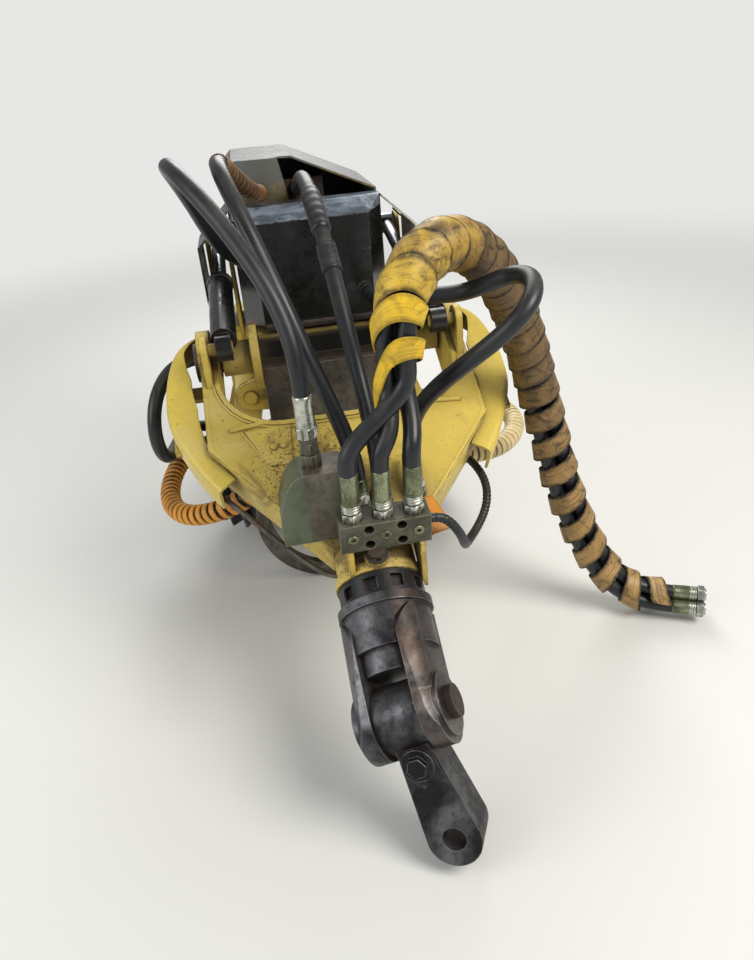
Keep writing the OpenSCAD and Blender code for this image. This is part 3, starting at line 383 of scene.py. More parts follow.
class Finish:
    """A material's nodes, built one call at a time; a value may be a number, a colour or another socket."""

    def __init__(self, name):
        self.material = bpy.data.materials.new(name)
        self.material.use_nodes = True
        self.tree = self.material.node_tree
        self.shader = self.tree.nodes["Principled BSDF"]
        self.place = self.tree.nodes.new("ShaderNodeTexCoord").outputs["Object"]

    def put(self, socket, value):
        """Links another socket to this one, or sets it to a value."""
        if isinstance(value, bpy.types.NodeSocket):
            self.tree.links.new(value, socket)
        elif isinstance(value, tuple) and len(value) == 3 and socket.type == "RGBA":
            socket.default_value = (*value, 1.0)
        else:
            socket.default_value = value

    def node(self, kind, out=0, settings=(), **values):
        """An output of a new node; an input is named, or is _ and its number."""
        n = self.tree.nodes.new(kind)
        for key, value in dict(settings).items():
            setattr(n, key, value)
        for key, value in values.items():
            self.put(n.inputs[int(key[1:]) if key[0] == "_" else key], value)
        return n.outputs[out]

    def stretched(self, x, y, z, source=None):
        """The place, or another source, scaled along each axis."""
        return self.node("ShaderNodeMapping", _0=source or self.place, _3=(x, y, z))

    def uv(self):
        """The mesh's own UV values."""
        n = self.tree.nodes.new("ShaderNodeUVMap")
        n.uv_map = "UVMap"
        return n.outputs[0]

    def field(self, name):
        """A field that the mesh keeps by point."""
        return self.node("ShaderNodeAttribute", "Fac", {"attribute_name": name})

    def past(self, origin, direction):
        """Distance of each place beyond a plane, in metres of the frame."""
        away = self.node("ShaderNodeVectorMath", 0, {"operation": "SUBTRACT"}, _0=self.place,
                         _1=tuple(origin))
        toward = tuple(float(x) for x in unit(np.asarray(direction, float)))
        return self.node("ShaderNodeVectorMath", "Value", {"operation": "DOT_PRODUCT"}, _0=away, _1=toward)

    def from_spot(self, spot):
        """Distance of each place from a spot, in metres of the frame."""
        return self.node("ShaderNodeVectorMath", "Value", {"operation": "DISTANCE"}, _0=self.place,
                         _1=tuple(float(x) for x in spot))

    def ramp(self, value, *stops):
        """A colour that goes through the stops, each a place from 0 to 1 and a colour."""
        n = self.tree.nodes.new("ShaderNodeValToRGB")
        self.put(n.inputs[0], value)
        marks = n.color_ramp.elements
        for _ in stops[2:]:
            marks.new(1.0)
        for mark, (place, shade) in zip(marks, stops):
            mark.position, mark.color = place, (*shade, 1.0)
        return n.outputs[0]

    def noise(self, scale, detail=5.0, rough=0.55, source=None, skew=0.0):
        """Cloudy noise from 0 to 1, at the place or at another source."""
        return self.node("ShaderNodeTexNoise", 0, Vector=source or self.place, Scale=scale, Detail=detail,
                         Roughness=rough, Distortion=skew)

    def step(self, value, low, high, to_low=0.0, to_high=1.0):
        """A smooth step from to_low at low to to_high at high."""
        return self.node("ShaderNodeMapRange", 0, {"interpolation_type": "SMOOTHSTEP"}, _0=value, _1=low,
                         _2=high, _3=to_low, _4=to_high)

    def sum(self, a, b):
        """Both values added."""
        return self.node("ShaderNodeMath", 0, {"operation": "ADD"}, _0=a, _1=b)

    def times(self, a, b):
        """Both values multiplied."""
        return self.node("ShaderNodeMath", 0, {"operation": "MULTIPLY"}, _0=a, _1=b)

    def most(self, a, b):
        """The larger of both values."""
        return self.node("ShaderNodeMath", 0, {"operation": "MAXIMUM"}, _0=a, _1=b)

    def mix(self, share, a, b):
        """From colour a to colour b by a share of 0 to 1."""
        return self.node("ShaderNodeMix", 2, {"data_type": "RGBA", "clamp_factor": True}, _0=share, _6=a,
                         _7=b)

    def blend(self, share, a, b):
        """From value a to value b by a share of 0 to 1."""
        return self.node("ShaderNodeMix", 0, {"data_type": "FLOAT", "clamp_factor": True}, _0=share, _2=a,
                         _3=b)

    def edges(self, radius):
        """0 on flat ground, toward 1 where the surface turns within the radius."""
        soft = self.node("ShaderNodeBevel", 0, {"samples": 6}, Radius=radius)
        plain = self.node("ShaderNodeNewGeometry", "Normal")
        same = self.node("ShaderNodeVectorMath", "Value", {"operation": "DOT_PRODUCT"}, _0=soft, _1=plain)
        return self.step(same, 1.0, 0.80)

    def nooks(self, reach):
        """1 in the open, toward 0 in corners and under other pieces."""
        return self.node("ShaderNodeAmbientOcclusion", "AO", {"samples": 6}, Distance=reach)

    def facing_up(self):
        """1 where the surface faces up, -1 where it faces down."""
        plain = self.node("ShaderNodeNewGeometry", "Normal")
        return self.node("ShaderNodeSeparateXYZ", 2, _0=plain)

    def bump(self, height, distance, round_edge=0.0):
        """A normal bent by a height, in metres of distance, over edges rounded by a radius."""
        values = {"Height": height, "Strength": 1.0, "Distance": distance}
        if round_edge:
            values["Normal"] = self.node("ShaderNodeBevel", 0, {"samples": 6}, Radius=round_edge)
        return self.node("ShaderNodeBump", 0, **values)

    def done(self, colour, rough, metal=0.0, normal=None):
        """The material, with its shader's inputs filled in."""
        self.put(self.shader.inputs["Base Color"], colour)
        self.put(self.shader.inputs["Roughness"], rough)
        self.put(self.shader.inputs["Metallic"], metal)
        if normal is not None:
            self.put(self.shader.inputs["Normal"], normal)
        return self.material


def painted_plate(name, coat, worn, dirt, wear=0.5, grime=0.5, coat_rough=0.42, round_edge=0.003, soiled=(),
                  tint=None):
    """Paint on steel plate: chalked and faded patches, mud and fine specks that gather in corners and about
    the soiled spots, painted shade that darkens corners and the ground under other pieces toward the dirt
    colour, chips, bare bright edges and thin rust runs."""
    f = Finish(name)
    fade = f.noise(2.6, 6, 0.6, skew=0.3)
    fine = f.noise(38.0, 8, 0.65)
    colour = f.mix(f.step(fade, 0.36, 0.66), coat, tuple(0.76 * c for c in coat))
    chalk = tuple(min(1.0, 0.8 * c + 0.25 * sum(coat) / 3) for c in coat)
    colour = f.mix(f.step(f.noise(5.2, 5, 0.6, skew=0.8), 0.52, 0.70, 0.0, 0.55), colour, chalk)
    if tint:
        colour = tint(f, colour)
    edge = f.edges(0.006)
    # Painted shade along with dirt: the occlusion mask marks corners and the ground under other pieces
    corner = f.step(f.nooks(0.07), 0.9, 0.35)
    gather = f.most(f.step(f.noise(1.7, 3, 0.5), 0.5, 0.75, 0.0, 0.45), f.times(corner, 0.8))
    for spot, reach in soiled:
        gather = f.most(gather, f.step(f.from_spot(spot), reach, 0.25 * reach))
    mud = f.step(f.sum(f.noise(7.0, 8, 0.68, skew=0.6), f.times(gather, 0.17)), 0.68 - 0.17 * grime,
                 0.84 - 0.17 * grime, 0.0, 0.72)
    specks = f.step(f.sum(f.noise(150.0, 4, 0.6), f.times(gather, 0.11)), 0.665 - 0.03 * grime,
                    0.70 - 0.03 * grime, 0.0, 0.85)
    runs = f.step(f.noise(14.0, 5, 0.6, source=f.stretched(1.0, 1.0, 0.16)), 0.56, 0.75, 0.0, 0.5 * grime)
    # The corner term is painted shade: it darkens every recess toward the dirt colour, with or without mud
    film = f.most(f.most(mud, specks), f.most(runs, f.times(corner, 0.8)))
    colour = f.mix(film, colour, dirt)
    chip_field = f.sum(f.noise(55.0, 8, 0.7), f.times(edge, 0.30))
    chip_field = f.sum(chip_field, f.times(f.step(f.noise(7.0, 4, 0.6), 0.4, 0.75), 0.16 * wear))
    chips = f.step(chip_field, 0.80 - 0.1 * wear, 0.85 - 0.1 * wear)
    scratch = f.noise(60.0, 3, 0.5, source=f.stretched(0.06, 1.0, 1.6), skew=0.2)
    scratch = f.step(scratch, 0.70, 0.76, 0.0, 0.6 * wear)
    bare = f.most(chips, scratch)
    rusty = f.mix(f.step(f.noise(30.0, 6), 0.4, 0.65), worn, tone(74, 46, 30))
    colour = f.mix(bare, colour, rusty)
    rough = f.blend(film, f.blend(f.step(fine, 0.3, 0.7), coat_rough - 0.08, coat_rough + 0.12), 0.82)
    rough = f.blend(bare, rough, 0.6)
    height = f.sum(f.times(fine, 0.25), f.times(chips, -0.8))
    height = f.sum(height, f.times(film, 0.25))
    return f.done(colour, rough, f.times(bare, 0.35), f.bump(height, 0.0006, round_edge))


def hood_tint(f, colour):
    """The hood's upper bevels carry a painted reflection of the sky in bluish grey, and its lower ledge is
    rusty.
    """
    # Painted reflection: this bluish grey stands in for the sky that the upper bevels mirror
    sky_reflection = f.mix(f.step(f.noise(26.0, 7, 0.7, source=f.stretched(0.3, 1.0, 1.0)), 0.4, 0.62),
                    tone(150, 162, 176), tone(84, 92, 102))
    rust = f.mix(f.step(f.noise(34.0, 6, 0.7), 0.4, 0.6), tone(104, 58, 32), tone(50, 36, 28))
    ragged = f.times(f.sum(f.noise(30.0, 5, 0.6), -0.5), 0.012)
    # The upper bevels, above this height, take the painted sky reflection
    top = f.step(f.sum(f.past((0, 0, 1.1015), (0, 0, 1)), ragged), -0.0015, 0.0015, 0.0, 0.85)
    low = f.step(f.sum(f.past((0, 0, 0.8165), (0, 0, -1)), f.times(ragged, 0.5)), -0.001, 0.001, 0.0, 0.8)
    return f.mix(low, f.mix(top, colour, sky_reflection), rust)


def cover_tint(f, colour):
    """The valve cover's front panel is dirty yellow below a ragged line, and rusty at its open edge."""
    ragged = f.times(f.sum(f.noise(9.0, 7, 0.65), -0.5), 0.09)
    low = f.step(f.sum(f.past((0, 0, 1.19), (0.25, 0, -1)), ragged), -0.006, 0.010, 0.0, 0.8)
    front = f.step(f.past((0, 0.357, 0), (0, -1, 0)), -0.002, 0.001)
    stain = f.mix(f.step(f.noise(24.0, 7, 0.7), 0.4, 0.62), tone(136, 122, 74), tone(84, 70, 44))
    return f.mix(f.times(low, front), colour, stain)


def girder_tint(f, colour):
    """The girder's front end is black, its ears and the rest are yellow."""
    front = f.step(f.past((0, 0.166, 0), (0, -1, 0)), -0.001, 0.001)
    left, right = (f.step(f.past((side * 0.1905, 0, 0), (-side, 0, 0)), -0.0005, 0.0005) for side in (-1, 1))
    return f.mix(f.times(front, f.times(left, right)), colour, tone(12, 13, 12))


def gland_tint(f, colour):
    """The gland box's round side is smooth grey-green, its flat face brushed."""
    side = f.step(f.past(IN_GLAND((-22, 0, 0)), (-1, 0, 0)), -0.001, 0.001)
    green = f.mix(f.step(f.noise(8.0, 5), 0.4, 0.66), tone(104, 112, 92), tone(70, 76, 62))
    return f.mix(side, colour, green)


def zinc_sheen_streaks(f, colour):
    """Painted sheen on the pressed sleeves: dark and bright lines along the hose stand in for their
    reflections.
    """
    lines = f.noise(1.0, 4, 0.6, source=f.stretched(330.0, 330.0, 9.0))
    # Painted highlights and shade: the streaks run from dark to bright in place of reflections
    drawn = f.mix(f.step(lines, 0.56, 0.68), tone(88, 94, 70), tone(190, 196, 170))
    return f.mix(f.step(lines, 0.44, 0.62, 0.0, 0.5), colour, drawn)


def fork_tint(f, colour):
    """The fork's right cheek is browner than its left one."""
    right = f.step(f.past(in_rotator((30, -900, 0)), ROTATOR_RIGHT), -0.005, 0.03, 0.0, 0.5)
    brown = f.mix(f.step(f.noise(18.0, 7, 0.7), 0.42, 0.60), tone(92, 74, 62), tone(50, 46, 43))
    return f.mix(right, colour, brown)


def bare_steel(name, light, dark, rust, rusted=0.5, metal=0.75, rough_from=0.38, round_edge=0.003,
               grain=26.0, tint=None, oily=0.0):
    """Worn steel: rubbed bright on edges, darker oxide between, rust in blotches, black oil in corners."""
    f = Finish(name)
    patch = f.noise(grain * 0.25, 7, 0.62, skew=0.4)
    fine = f.noise(grain * 2.2, 8, 0.7)
    colour = f.mix(f.step(patch, 0.38, 0.62), light, dark)
    colour = f.mix(f.step(fine, 0.45, 0.7, 0.0, 0.6), colour, tuple(0.55 * c for c in dark))
    if tint:
        colour = tint(f, colour)
    edge = f.edges(0.005)
    colour = f.mix(f.times(edge, f.step(fine, 0.3, 0.6)), colour, tuple(min(1.0, 1.6 * c) for c in light))
    open_air = f.nooks(0.05)
    corner = f.step(open_air, 0.85, 0.3)
    blot = f.step(f.noise(grain * 0.5, 7, 0.7), 0.66 - 0.22 * rusted, 0.80 - 0.2 * rusted)
    orange = f.mix(f.step(f.noise(grain * 1.5, 6), 0.42, 0.62), rust, tuple(0.45 * c for c in rust))
    rusted_part = f.most(f.times(blot, 0.9), f.times(corner, 0.7))
    colour = f.mix(rusted_part, colour, orange)
    oil = f.sum(f.noise(grain * 0.35, 6, 0.6, skew=0.5), f.times(corner, 0.25))
    oil = f.step(oil, 0.58, 0.72, 0.0, oily)
    colour = f.mix(oil, colour, tone(26, 24, 22))
    scuffs = f.noise(grain * 3.0, 2, 0.5, source=f.stretched(0.08, 1.0, 1.0), skew=0.4)
    scuffs = f.step(scuffs, 0.66, 0.74, 0.0, 0.5)
    colour = f.mix(f.times(scuffs, f.step(patch, 0.5, 0.6)), colour, tuple(min(1.0, 1.5 * c) for c in light))
    rough = f.blend(rusted_part, f.step(fine, 0.2, 0.8, rough_from, rough_from + 0.22), 0.86)
    rough = f.blend(oil, rough, 0.3)
    height = f.sum(f.sum(f.times(fine, 0.35), f.times(blot, 0.4)), f.times(scuffs, -0.3))
    metallic = f.blend(f.most(rusted_part, oil), metal, 0.1)
    return f.done(colour, rough, metallic, f.bump(height, 0.0008, round_edge))


def hose_rubber(name, black, dust):
    """Hose cover: fine wrapped-cloth marks along its own UV, dust on its upper side, and scuffs."""
    f = Finish(name)
    cloth = f.noise(1.0, 2.0, 0.5, source=f.stretched(420.0, 46.0, 1.0, f.uv()))
    fade = f.noise(9.0, 6, 0.6)
    scuff = f.step(f.noise(60.0, 6, 0.7), 0.62, 0.72, 0.0, 0.5)
    colour = f.mix(f.step(fade, 0.35, 0.75), black, tuple(1.7 * c for c in black))
    top = f.step(f.facing_up(), 0.1, 0.95)
    film = f.times(top, f.step(f.noise(16.0, 7, 0.65), 0.42, 0.70, 0.02, 0.32))
    colour = f.mix(f.most(film, f.times(scuff, 0.25)), colour, dust)
    rough = f.blend(film, f.step(fade, 0.3, 0.7, 0.33, 0.45), 0.62)
    height = f.sum(f.times(cloth, 0.4), f.times(scuff, 0.3))
    return f.done(colour, rough, 0.0, f.bump(height, 0.00018))


def guard_plastic(name, stops, grime, dirty=0.5):
    """Spiral hose guard: plastic that turns from yellow to brown along its field of age, streaked along the
    band, and darkened toward black at the band's edges and in its gaps: painted shade of the seams, along
    with oily grime."""
    f = Finish(name)
    uv = f.uv()
    streak = f.noise(1.0, 7, 0.68, source=f.stretched(7.0, 1.6, 1.0, uv), skew=0.6)
    blotch = f.noise(13.0, 7, 0.66, skew=0.9)
    fine = f.noise(90.0, 7, 0.65)
    lines = f.noise(1.0, 3, 0.6, source=f.stretched(2.4, 34.0, 1.0, uv), skew=0.3)
    mottle = f.sum(f.times(f.sum(streak, -0.5), 0.5), f.times(f.sum(blotch, -0.5), 0.8))
    colour = f.ramp(f.sum(f.field("age"), f.times(mottle, 0.6)), *stops)
    # Painted shade of the seams, along with grime: the band darkens toward its edges
    rim = f.times(f.step(f.sum(f.field("across"), f.times(f.sum(blotch, -0.5), 1.1)), 0.58, 0.98),
                  f.step(fine, 0.3, 0.55, 0.5, 1.0))
    # Painted shade: the occlusion mask darkens the gaps between turns and the places under other pieces
    corner = f.step(f.nooks(0.03), 0.92, 0.4)
    smear = f.step(f.noise(16.0, 8, 0.72, source=f.stretched(1.0, 1.0, 1.4), skew=1.4), 0.63 - 0.2 * dirty,
                   0.78 - 0.15 * dirty, 0.0, 0.85)
    aged = f.step(f.field("age"), 0.05, 0.35, 0.5, 1.0)
    speck = f.step(fine, 0.64, 0.72, 0.0, 0.7)
    drawn = f.times(f.step(f.sum(lines, f.times(f.sum(blotch, -0.5), 0.7)), 0.52, 0.66, 0.0, 0.6), aged)
    film = f.most(f.times(f.most(smear, speck), aged), f.most(f.times(corner, 0.8), f.times(rim, aged)))
    film = f.most(film, drawn)
    colour = f.mix(film, colour, grime)
    rough = f.blend(film, f.step(fine, 0.3, 0.7, 0.36, 0.52), 0.74)
    height = f.sum(f.times(fine, 0.3), f.times(film, 0.4))
    return f.done(colour, rough, 0.0, f.bump(height, 0.0005, 0.0015))


# ---------------------------------------------------------------------------------------------------------
# Routes, in the part's millimetres


# An elbow on the yoke starts at this height and leans by degrees; its hose starts this far up it
PORT_HEIGHT, PORT_LEAN, PORT_LENGTH = 80.3, 42, 60.3
# A feed motor's foot, its lean in degrees, and its ports' height on it and distance from its axis
MOTOR_FOOT, MOTOR_LEAN, MOTOR_UP, MOTOR_RADIUS = (262, 450, 215), 10, 196, 71


def port_end(x, d, h=0.0):
    """Where a hose leaves a port on the yoke, d along it, h further on."""
    turn, low, up = math.radians(PORT_LEAN) - YOKE_SLOPE, PORT_HEIGHT, PORT_LENGTH + h
    return (x, -d * math.cos(YOKE_SLOPE) - low * math.sin(YOKE_SLOPE) + up * math.sin(turn),
            TILT_PIVOT_Z - d * math.sin(YOKE_SLOPE) + low * math.cos(YOKE_SLOPE) + up * math.cos(turn))


def motor_port(side, turn, h):
    """Where a hose meets a feed motor, turned about it from straight outward and h away from it."""
    (x, y, z), lean, turn = MOTOR_FOOT, math.radians(MOTOR_LEAN), math.radians(turn)
    out = (MOTOR_RADIUS + h) * math.cos(turn)
    return (side * (x + out * math.cos(lean) + MOTOR_UP * math.sin(lean)),
            y + (MOTOR_RADIUS + h) * math.sin(turn),
            z - out * math.sin(lean) + MOTOR_UP * math.cos(lean))


# The yoke's ports: their place across it and their distance along it
PORTS = [(-14, 551), (38, 535), (118, 530)]
# The line of the three wrapped hoses, and the first points of each, from its fitting on the block
BUNDLE = [(80, -604, 880), (80, -604, 960), (84, -604, 1050), (116, -580, 1118), (180, -530, 1156),
          (260, -464, 1136), (338, -396, 1062), (404, -340, 955), (455, -303, 825), (496, -284, 685),
          (534, -278, 540), (572, -280, 400), (618, -296, 268), (672, -320, 155), (725, -346, 92),
          (790, -377, 60), (860, -410, 60)]
TAILS = [
    [(-48, -659, 755), (-48, -665, 795), (-20, -650, 825)],
    [(18, -659, 755), (18, -665, 795), (50, -650, 825)],
    [(84, -659, 755), (84, -665, 795), (98, -630, 825)],
]
LEFT_OUTER = [(-112, -515, 876.5), (-112, -515, 925), (-117, -500, 985), (-134, -468, 1055),
              (-170, -420, 1130), (-225, -355, 1215), (-285, -280, 1285), (-325, -185, 1315),
              (-325, -80, 1285), (-300, 30, 1205),
              (-275, 120, 1110), (-250, 195, 1045), (-206.4, 249.4, 1000.5)]
LEFT_INNER = [port_end(*PORTS[0]), port_end(*PORTS[0], 45), (-35, -470, 780), (-68, -432, 870),
              (-100, -388, 970), (-138, -335, 1085), (-178, -275, 1200), (-212, -195, 1285),
              (-218, -95, 1303), (-195, 10, 1262), (-160, 105, 1210), (-135, 205, 1180),
              (-124, 285, 1168), (-124, 351.7, 1168)]
MIDDLE = [port_end(*PORTS[1]), port_end(*PORTS[1], 45), (30, -440, 800), (18, -370, 910), (8, -270, 1030),
          (0, -140, 1130), (-6, 0, 1200), (-10, 135, 1222), (-12, 255, 1198), (-12, 335, 1158.3),
          (-12, 395.7, 1158.3)]
RIGHT_LOOP = [port_end(*PORTS[2]), port_end(*PORTS[2], 45), (122, -482, 755), (135, -510, 810),
              (165, -565, 875), (215, -628, 942), (265, -668, 997), (304, -680, 1036), (336, -660, 1066),
              (354, -608, 1084), (348, -560, 1084), (322, -528, 1074), (284, -518, 1058), (245, -492, 1040),
              (210, -425, 1022), (180, -320, 1000), (160, -200, 965), (148, -80, 935), (142, 50, 900),
              (140, 115, 890), (140, 169.7, 890)]
LEFT_BACK = [(-214.3, 150, 745), (-262, 150, 745), (-325, 140, 765), (-390, 115, 778), (-452, 70, 765),
             (-495, 10, 710), (-510, -25, 630), (-508, -10, 555), (-502, 70, 500), (-498, 180, 475),
             (-492, 290, 460), (-480, 400, 440), (-460, 480, 415), motor_port(-1, 32, 60),
             motor_port(-1, 32, 0.5)]
CONDUIT = [(150, -6.3, 640), (150, -60, 640), (175, -125, 625), (235, -195, 592), (298, -270, 550),
           (333, -350, 518), (315, -425, 478), (265, -485, 450), (225, -540, 455), (208, -590, 487),
           (195, -625, 528), (178, -643, 570), (150, -640, 606), (116.3, -640, 606)]
SPIRAL_LEFT = [(-150, -6.3, 575), (-150, -74, 575), (-162, -135, 560), (-200, -180, 530), (-262, -200, 490),
               (-335, -185, 450), (-405, -145, 415), (-470, -85, 388), (-515, 0, 375), (-530, 100, 372),
               (-525, 200, 374), (-505, 295, 378), (-472, 345, 376), motor_port(-1, -32, 70),
               motor_port(-1, -32, 0.5)]
SPIRAL_RIGHT = [(150, -6.3, 575), (150, -74, 575), (170, -130, 555), (230, -165, 525), (310, -160, 492),
                (395, -125, 468), (470, -75, 455), (530, 0, 452), (560, 90, 452), (560, 180, 448),
                (535, 265, 432), (490, 330, 405), motor_port(1, -32, 70), motor_port(1, -32, 0.5)]
# Start, stop and thickness of the middle hose's sleeves, in metres along it
SLEEVES = [(0.475, 0.555, 0.0042), (0.60, 0.76, 0.0048)]

# The guard round the bundle, in metres: distance, pitch, the band's width, and how far its turns lean.
# Open bright turns at the front, shingled brown ones over the arch, gapping paler ones on the far strand
GUARD_TURNS = [(0.0, 0.42, 0.050, 0.03), (0.09, 0.42, 0.050, 0.04), (0.11, 0.13, 0.048, 0.04),
               (0.13, 0.075, 0.042, 0.04), (0.18, 0.066, 0.042, 0.035), (0.20, 0.066, 0.044, 0.03),
               (0.215, 0.058, 0.054, 0.03), (0.74, 0.052, 0.058, 0), (0.92, 0.060, 0.060, 0),
               (1.02, 0.074, 0.060, 0), (1.12, 0.092, 0.058, 0), (1.5, 0.092, 0.056, 0),
               (2.04, 0.092, 0.056, 0)]
GUARD_LAST = (0.094, 0.056, 0)
# The direction in which they lean, and where the winding starts about its line, in degrees
GUARD_LEAN = np.array([-0.1, -0.95, 0.3])
GUARD_PHASE = 72.0
# Distance along the guard and how brown and worn it is there, from 0 to 1
GUARD_AGES = [(0, 0), (0.16, 0.04), (0.21, 0.10), (0.26, 0.27), (0.40, 0.38), (0.52, 0.52), (0.9, 0.58),
              (1.0, 0.66), (1.12, 0.76), (1.5, 0.80), (2.0, 0.88)]
GUARD_OLDEST = 0.95
# Angle of each strand about the bundle's line, at its start and at its far end, in degrees, and the
# distances from the line at which they end, in metres
STRAND_TURNS = ((210, 90, 330), (189, 67, 312))
STRAND_ENDS = (0.020, 0.026, 0.026)
# The fittings at the far end lie on the ground: their axes, turned about Z, and their place
END_TURN = np.array([(math.cos(math.radians(25)), -math.sin(math.radians(25)), 0),
                     (math.sin(math.radians(25)), math.cos(math.radians(25)), 0), (0, 0, 1)])
END_PLACE = (860.5, -410.2, 60)

# Spiral hoses in metres: side, route, finish, slot, and the pitch and width of the guard's band
SPIRALS = [("left", SPIRAL_LEFT, "guard_orange", "orange_guard", 0.026, 0.0185),
           ("right", SPIRAL_RIGHT, "guard_pale", "pale_guard", 0.0225, 0.0195)]
SPIRAL_HOSE = 0.044

# In the yoke's frame: a thin pipe's line, a side guard's outer edge, and its lip's width by part of the edge
GREASE_PIPE = [(-392, -262, -12), (-385, -330, -20), (-340, -400, -28), (-300, -446, -30), (-230, -534, -30),
               (-148, -628, -30), (-112, -662, -28), (-84, -672, -24)]
GUARD_EDGE = [(356, 60), (372, 54), (408, 26), (430, -30), (443, -110), (444, -160), (441, -220), (424, -270),
              (400, -324), (376, -372), (352, -410), (332, -438)]
GUARD_LIPS = {-1: [(0.0, 12), (0.12, 24), (0.3, 64), (0.5, 78), (0.62, 72), (0.75, 58), (1.0, 52)],
              1: [(0.0, 12), (0.12, 30), (0.3, 80), (0.5, 91), (0.6, 82), (0.75, 62), (1.0, 54)]}


# ---------------------------------------------------------------------------------------------------------
# Sizes and colours that a user may change


class HarvesterSizes(bpy.types.PropertyGroup):
    """Lengths of the dressing, in metres"""

    hose: bpy.props.FloatProperty(
        name="Pressure hose", description="Outer diameter of a pressure hose", default=0.038, min=0.03,
        max=0.042, unit="LENGTH", subtype="DISTANCE")
    loop: bpy.props.FloatProperty(
        name="Loop hose", description="Outer diameter of the hose that loops out to the right", default=0.036,
        min=0.03, max=0.04, unit="LENGTH", subtype="DISTANCE")
    thin: bpy.props.FloatProperty(
        name="Conduit", description="Outer diameter of the thin ribbed conduit", default=0.022, min=0.016,
        max=0.028, unit="LENGTH", subtype="DISTANCE")
    guard: bpy.props.FloatProperty(
        name="Spiral guard", description="Outer diameter of the guard round the three hoses", default=0.110,
        min=0.1, max=0.114, unit="LENGTH", subtype="DISTANCE")
    spread: bpy.props.FloatProperty(
        name="Strand offset", description="Distance of each hose from the middle of its bundle",
        default=0.0255, min=0.022, max=0.03, unit="LENGTH", subtype="DISTANCE")


class HarvesterColours(bpy.types.PropertyGroup):
    """Colours of the dressing"""

    paint: bpy.props.FloatVectorProperty(
        name="Paint", description="Yellow paint of the frame and the tilt yoke", default=tone(216, 188, 84),
        size=3, min=0, max=1, subtype="COLOR")
    cover: bpy.props.FloatVectorProperty(
        name="Cover paint", description="Grey paint of the valve cover", default=tone(96, 98, 92), size=3,
        min=0, max=1, subtype="COLOR")
    guard: bpy.props.FloatVectorProperty(
        name="Guard", description="Yellow of the spiral guard", default=tone(236, 192, 28), size=3, min=0,
        max=1, subtype="COLOR")
    rubber: bpy.props.FloatVectorProperty(
        name="Hose rubber", description="Black of the hoses", default=tone(20, 22, 26), size=3, min=0, max=1,
        subtype="COLOR")
    mud: bpy.props.FloatVectorProperty(
        name="Dirt", description="Dried mud and oily dust", default=tone(74, 62, 44), size=3, min=0, max=1,
        subtype="COLOR")
    floor: bpy.props.FloatVectorProperty(
        name="Floor", description="Plain pale studio floor", default=tone(222, 222, 218), size=3, min=0,
        max=1, subtype="COLOR")


def sizes():
    """The scene's lengths."""
    return bpy.context.scene.harvester_sizes


def colour(name):
    """One of the scene's colours."""
    return tuple(getattr(bpy.context.scene.harvester_colours, name))


FINISHES = {}


def dressed(obj, finish):
    """Gives an object, new or from the frame, one finish."""
    if obj.data.materials:
        for k in range(len(obj.data.materials)):
            obj.data.materials[k] = FINISHES[finish]
    else:
        obj.data.materials.append(FINISHES[finish])
    return obj


def follow(obj):
    """Bakes the transform of a hose, or of a piece on it, into its mesh."""
    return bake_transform(obj)


def hose(name, route, diameter, bodies, node, step=ROUTE_STEP, ribs=None, **facts):
    """A free hose along a route of the part: a round tube on the smooth route.

    With ribs, its radius is r (1 - 0.1 |sin(pi s / ribs)|) at distance s."""
    path = smooth_route(placed(route), step)
    radius = diameter / 2
    if ribs:
        radius = radius * (1 - 0.1 * np.abs(np.sin(math.pi * lengths(path) / ribs)))
    obj = dressed(tube(Shell(), path, radius, HOSE_SIDES).made(name), "rubber")
    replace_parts(follow(obj), node)
    facts = {"far_end": "object", "stiffness": "stiff", "lay": "taut", "with_pieces": (), **facts}


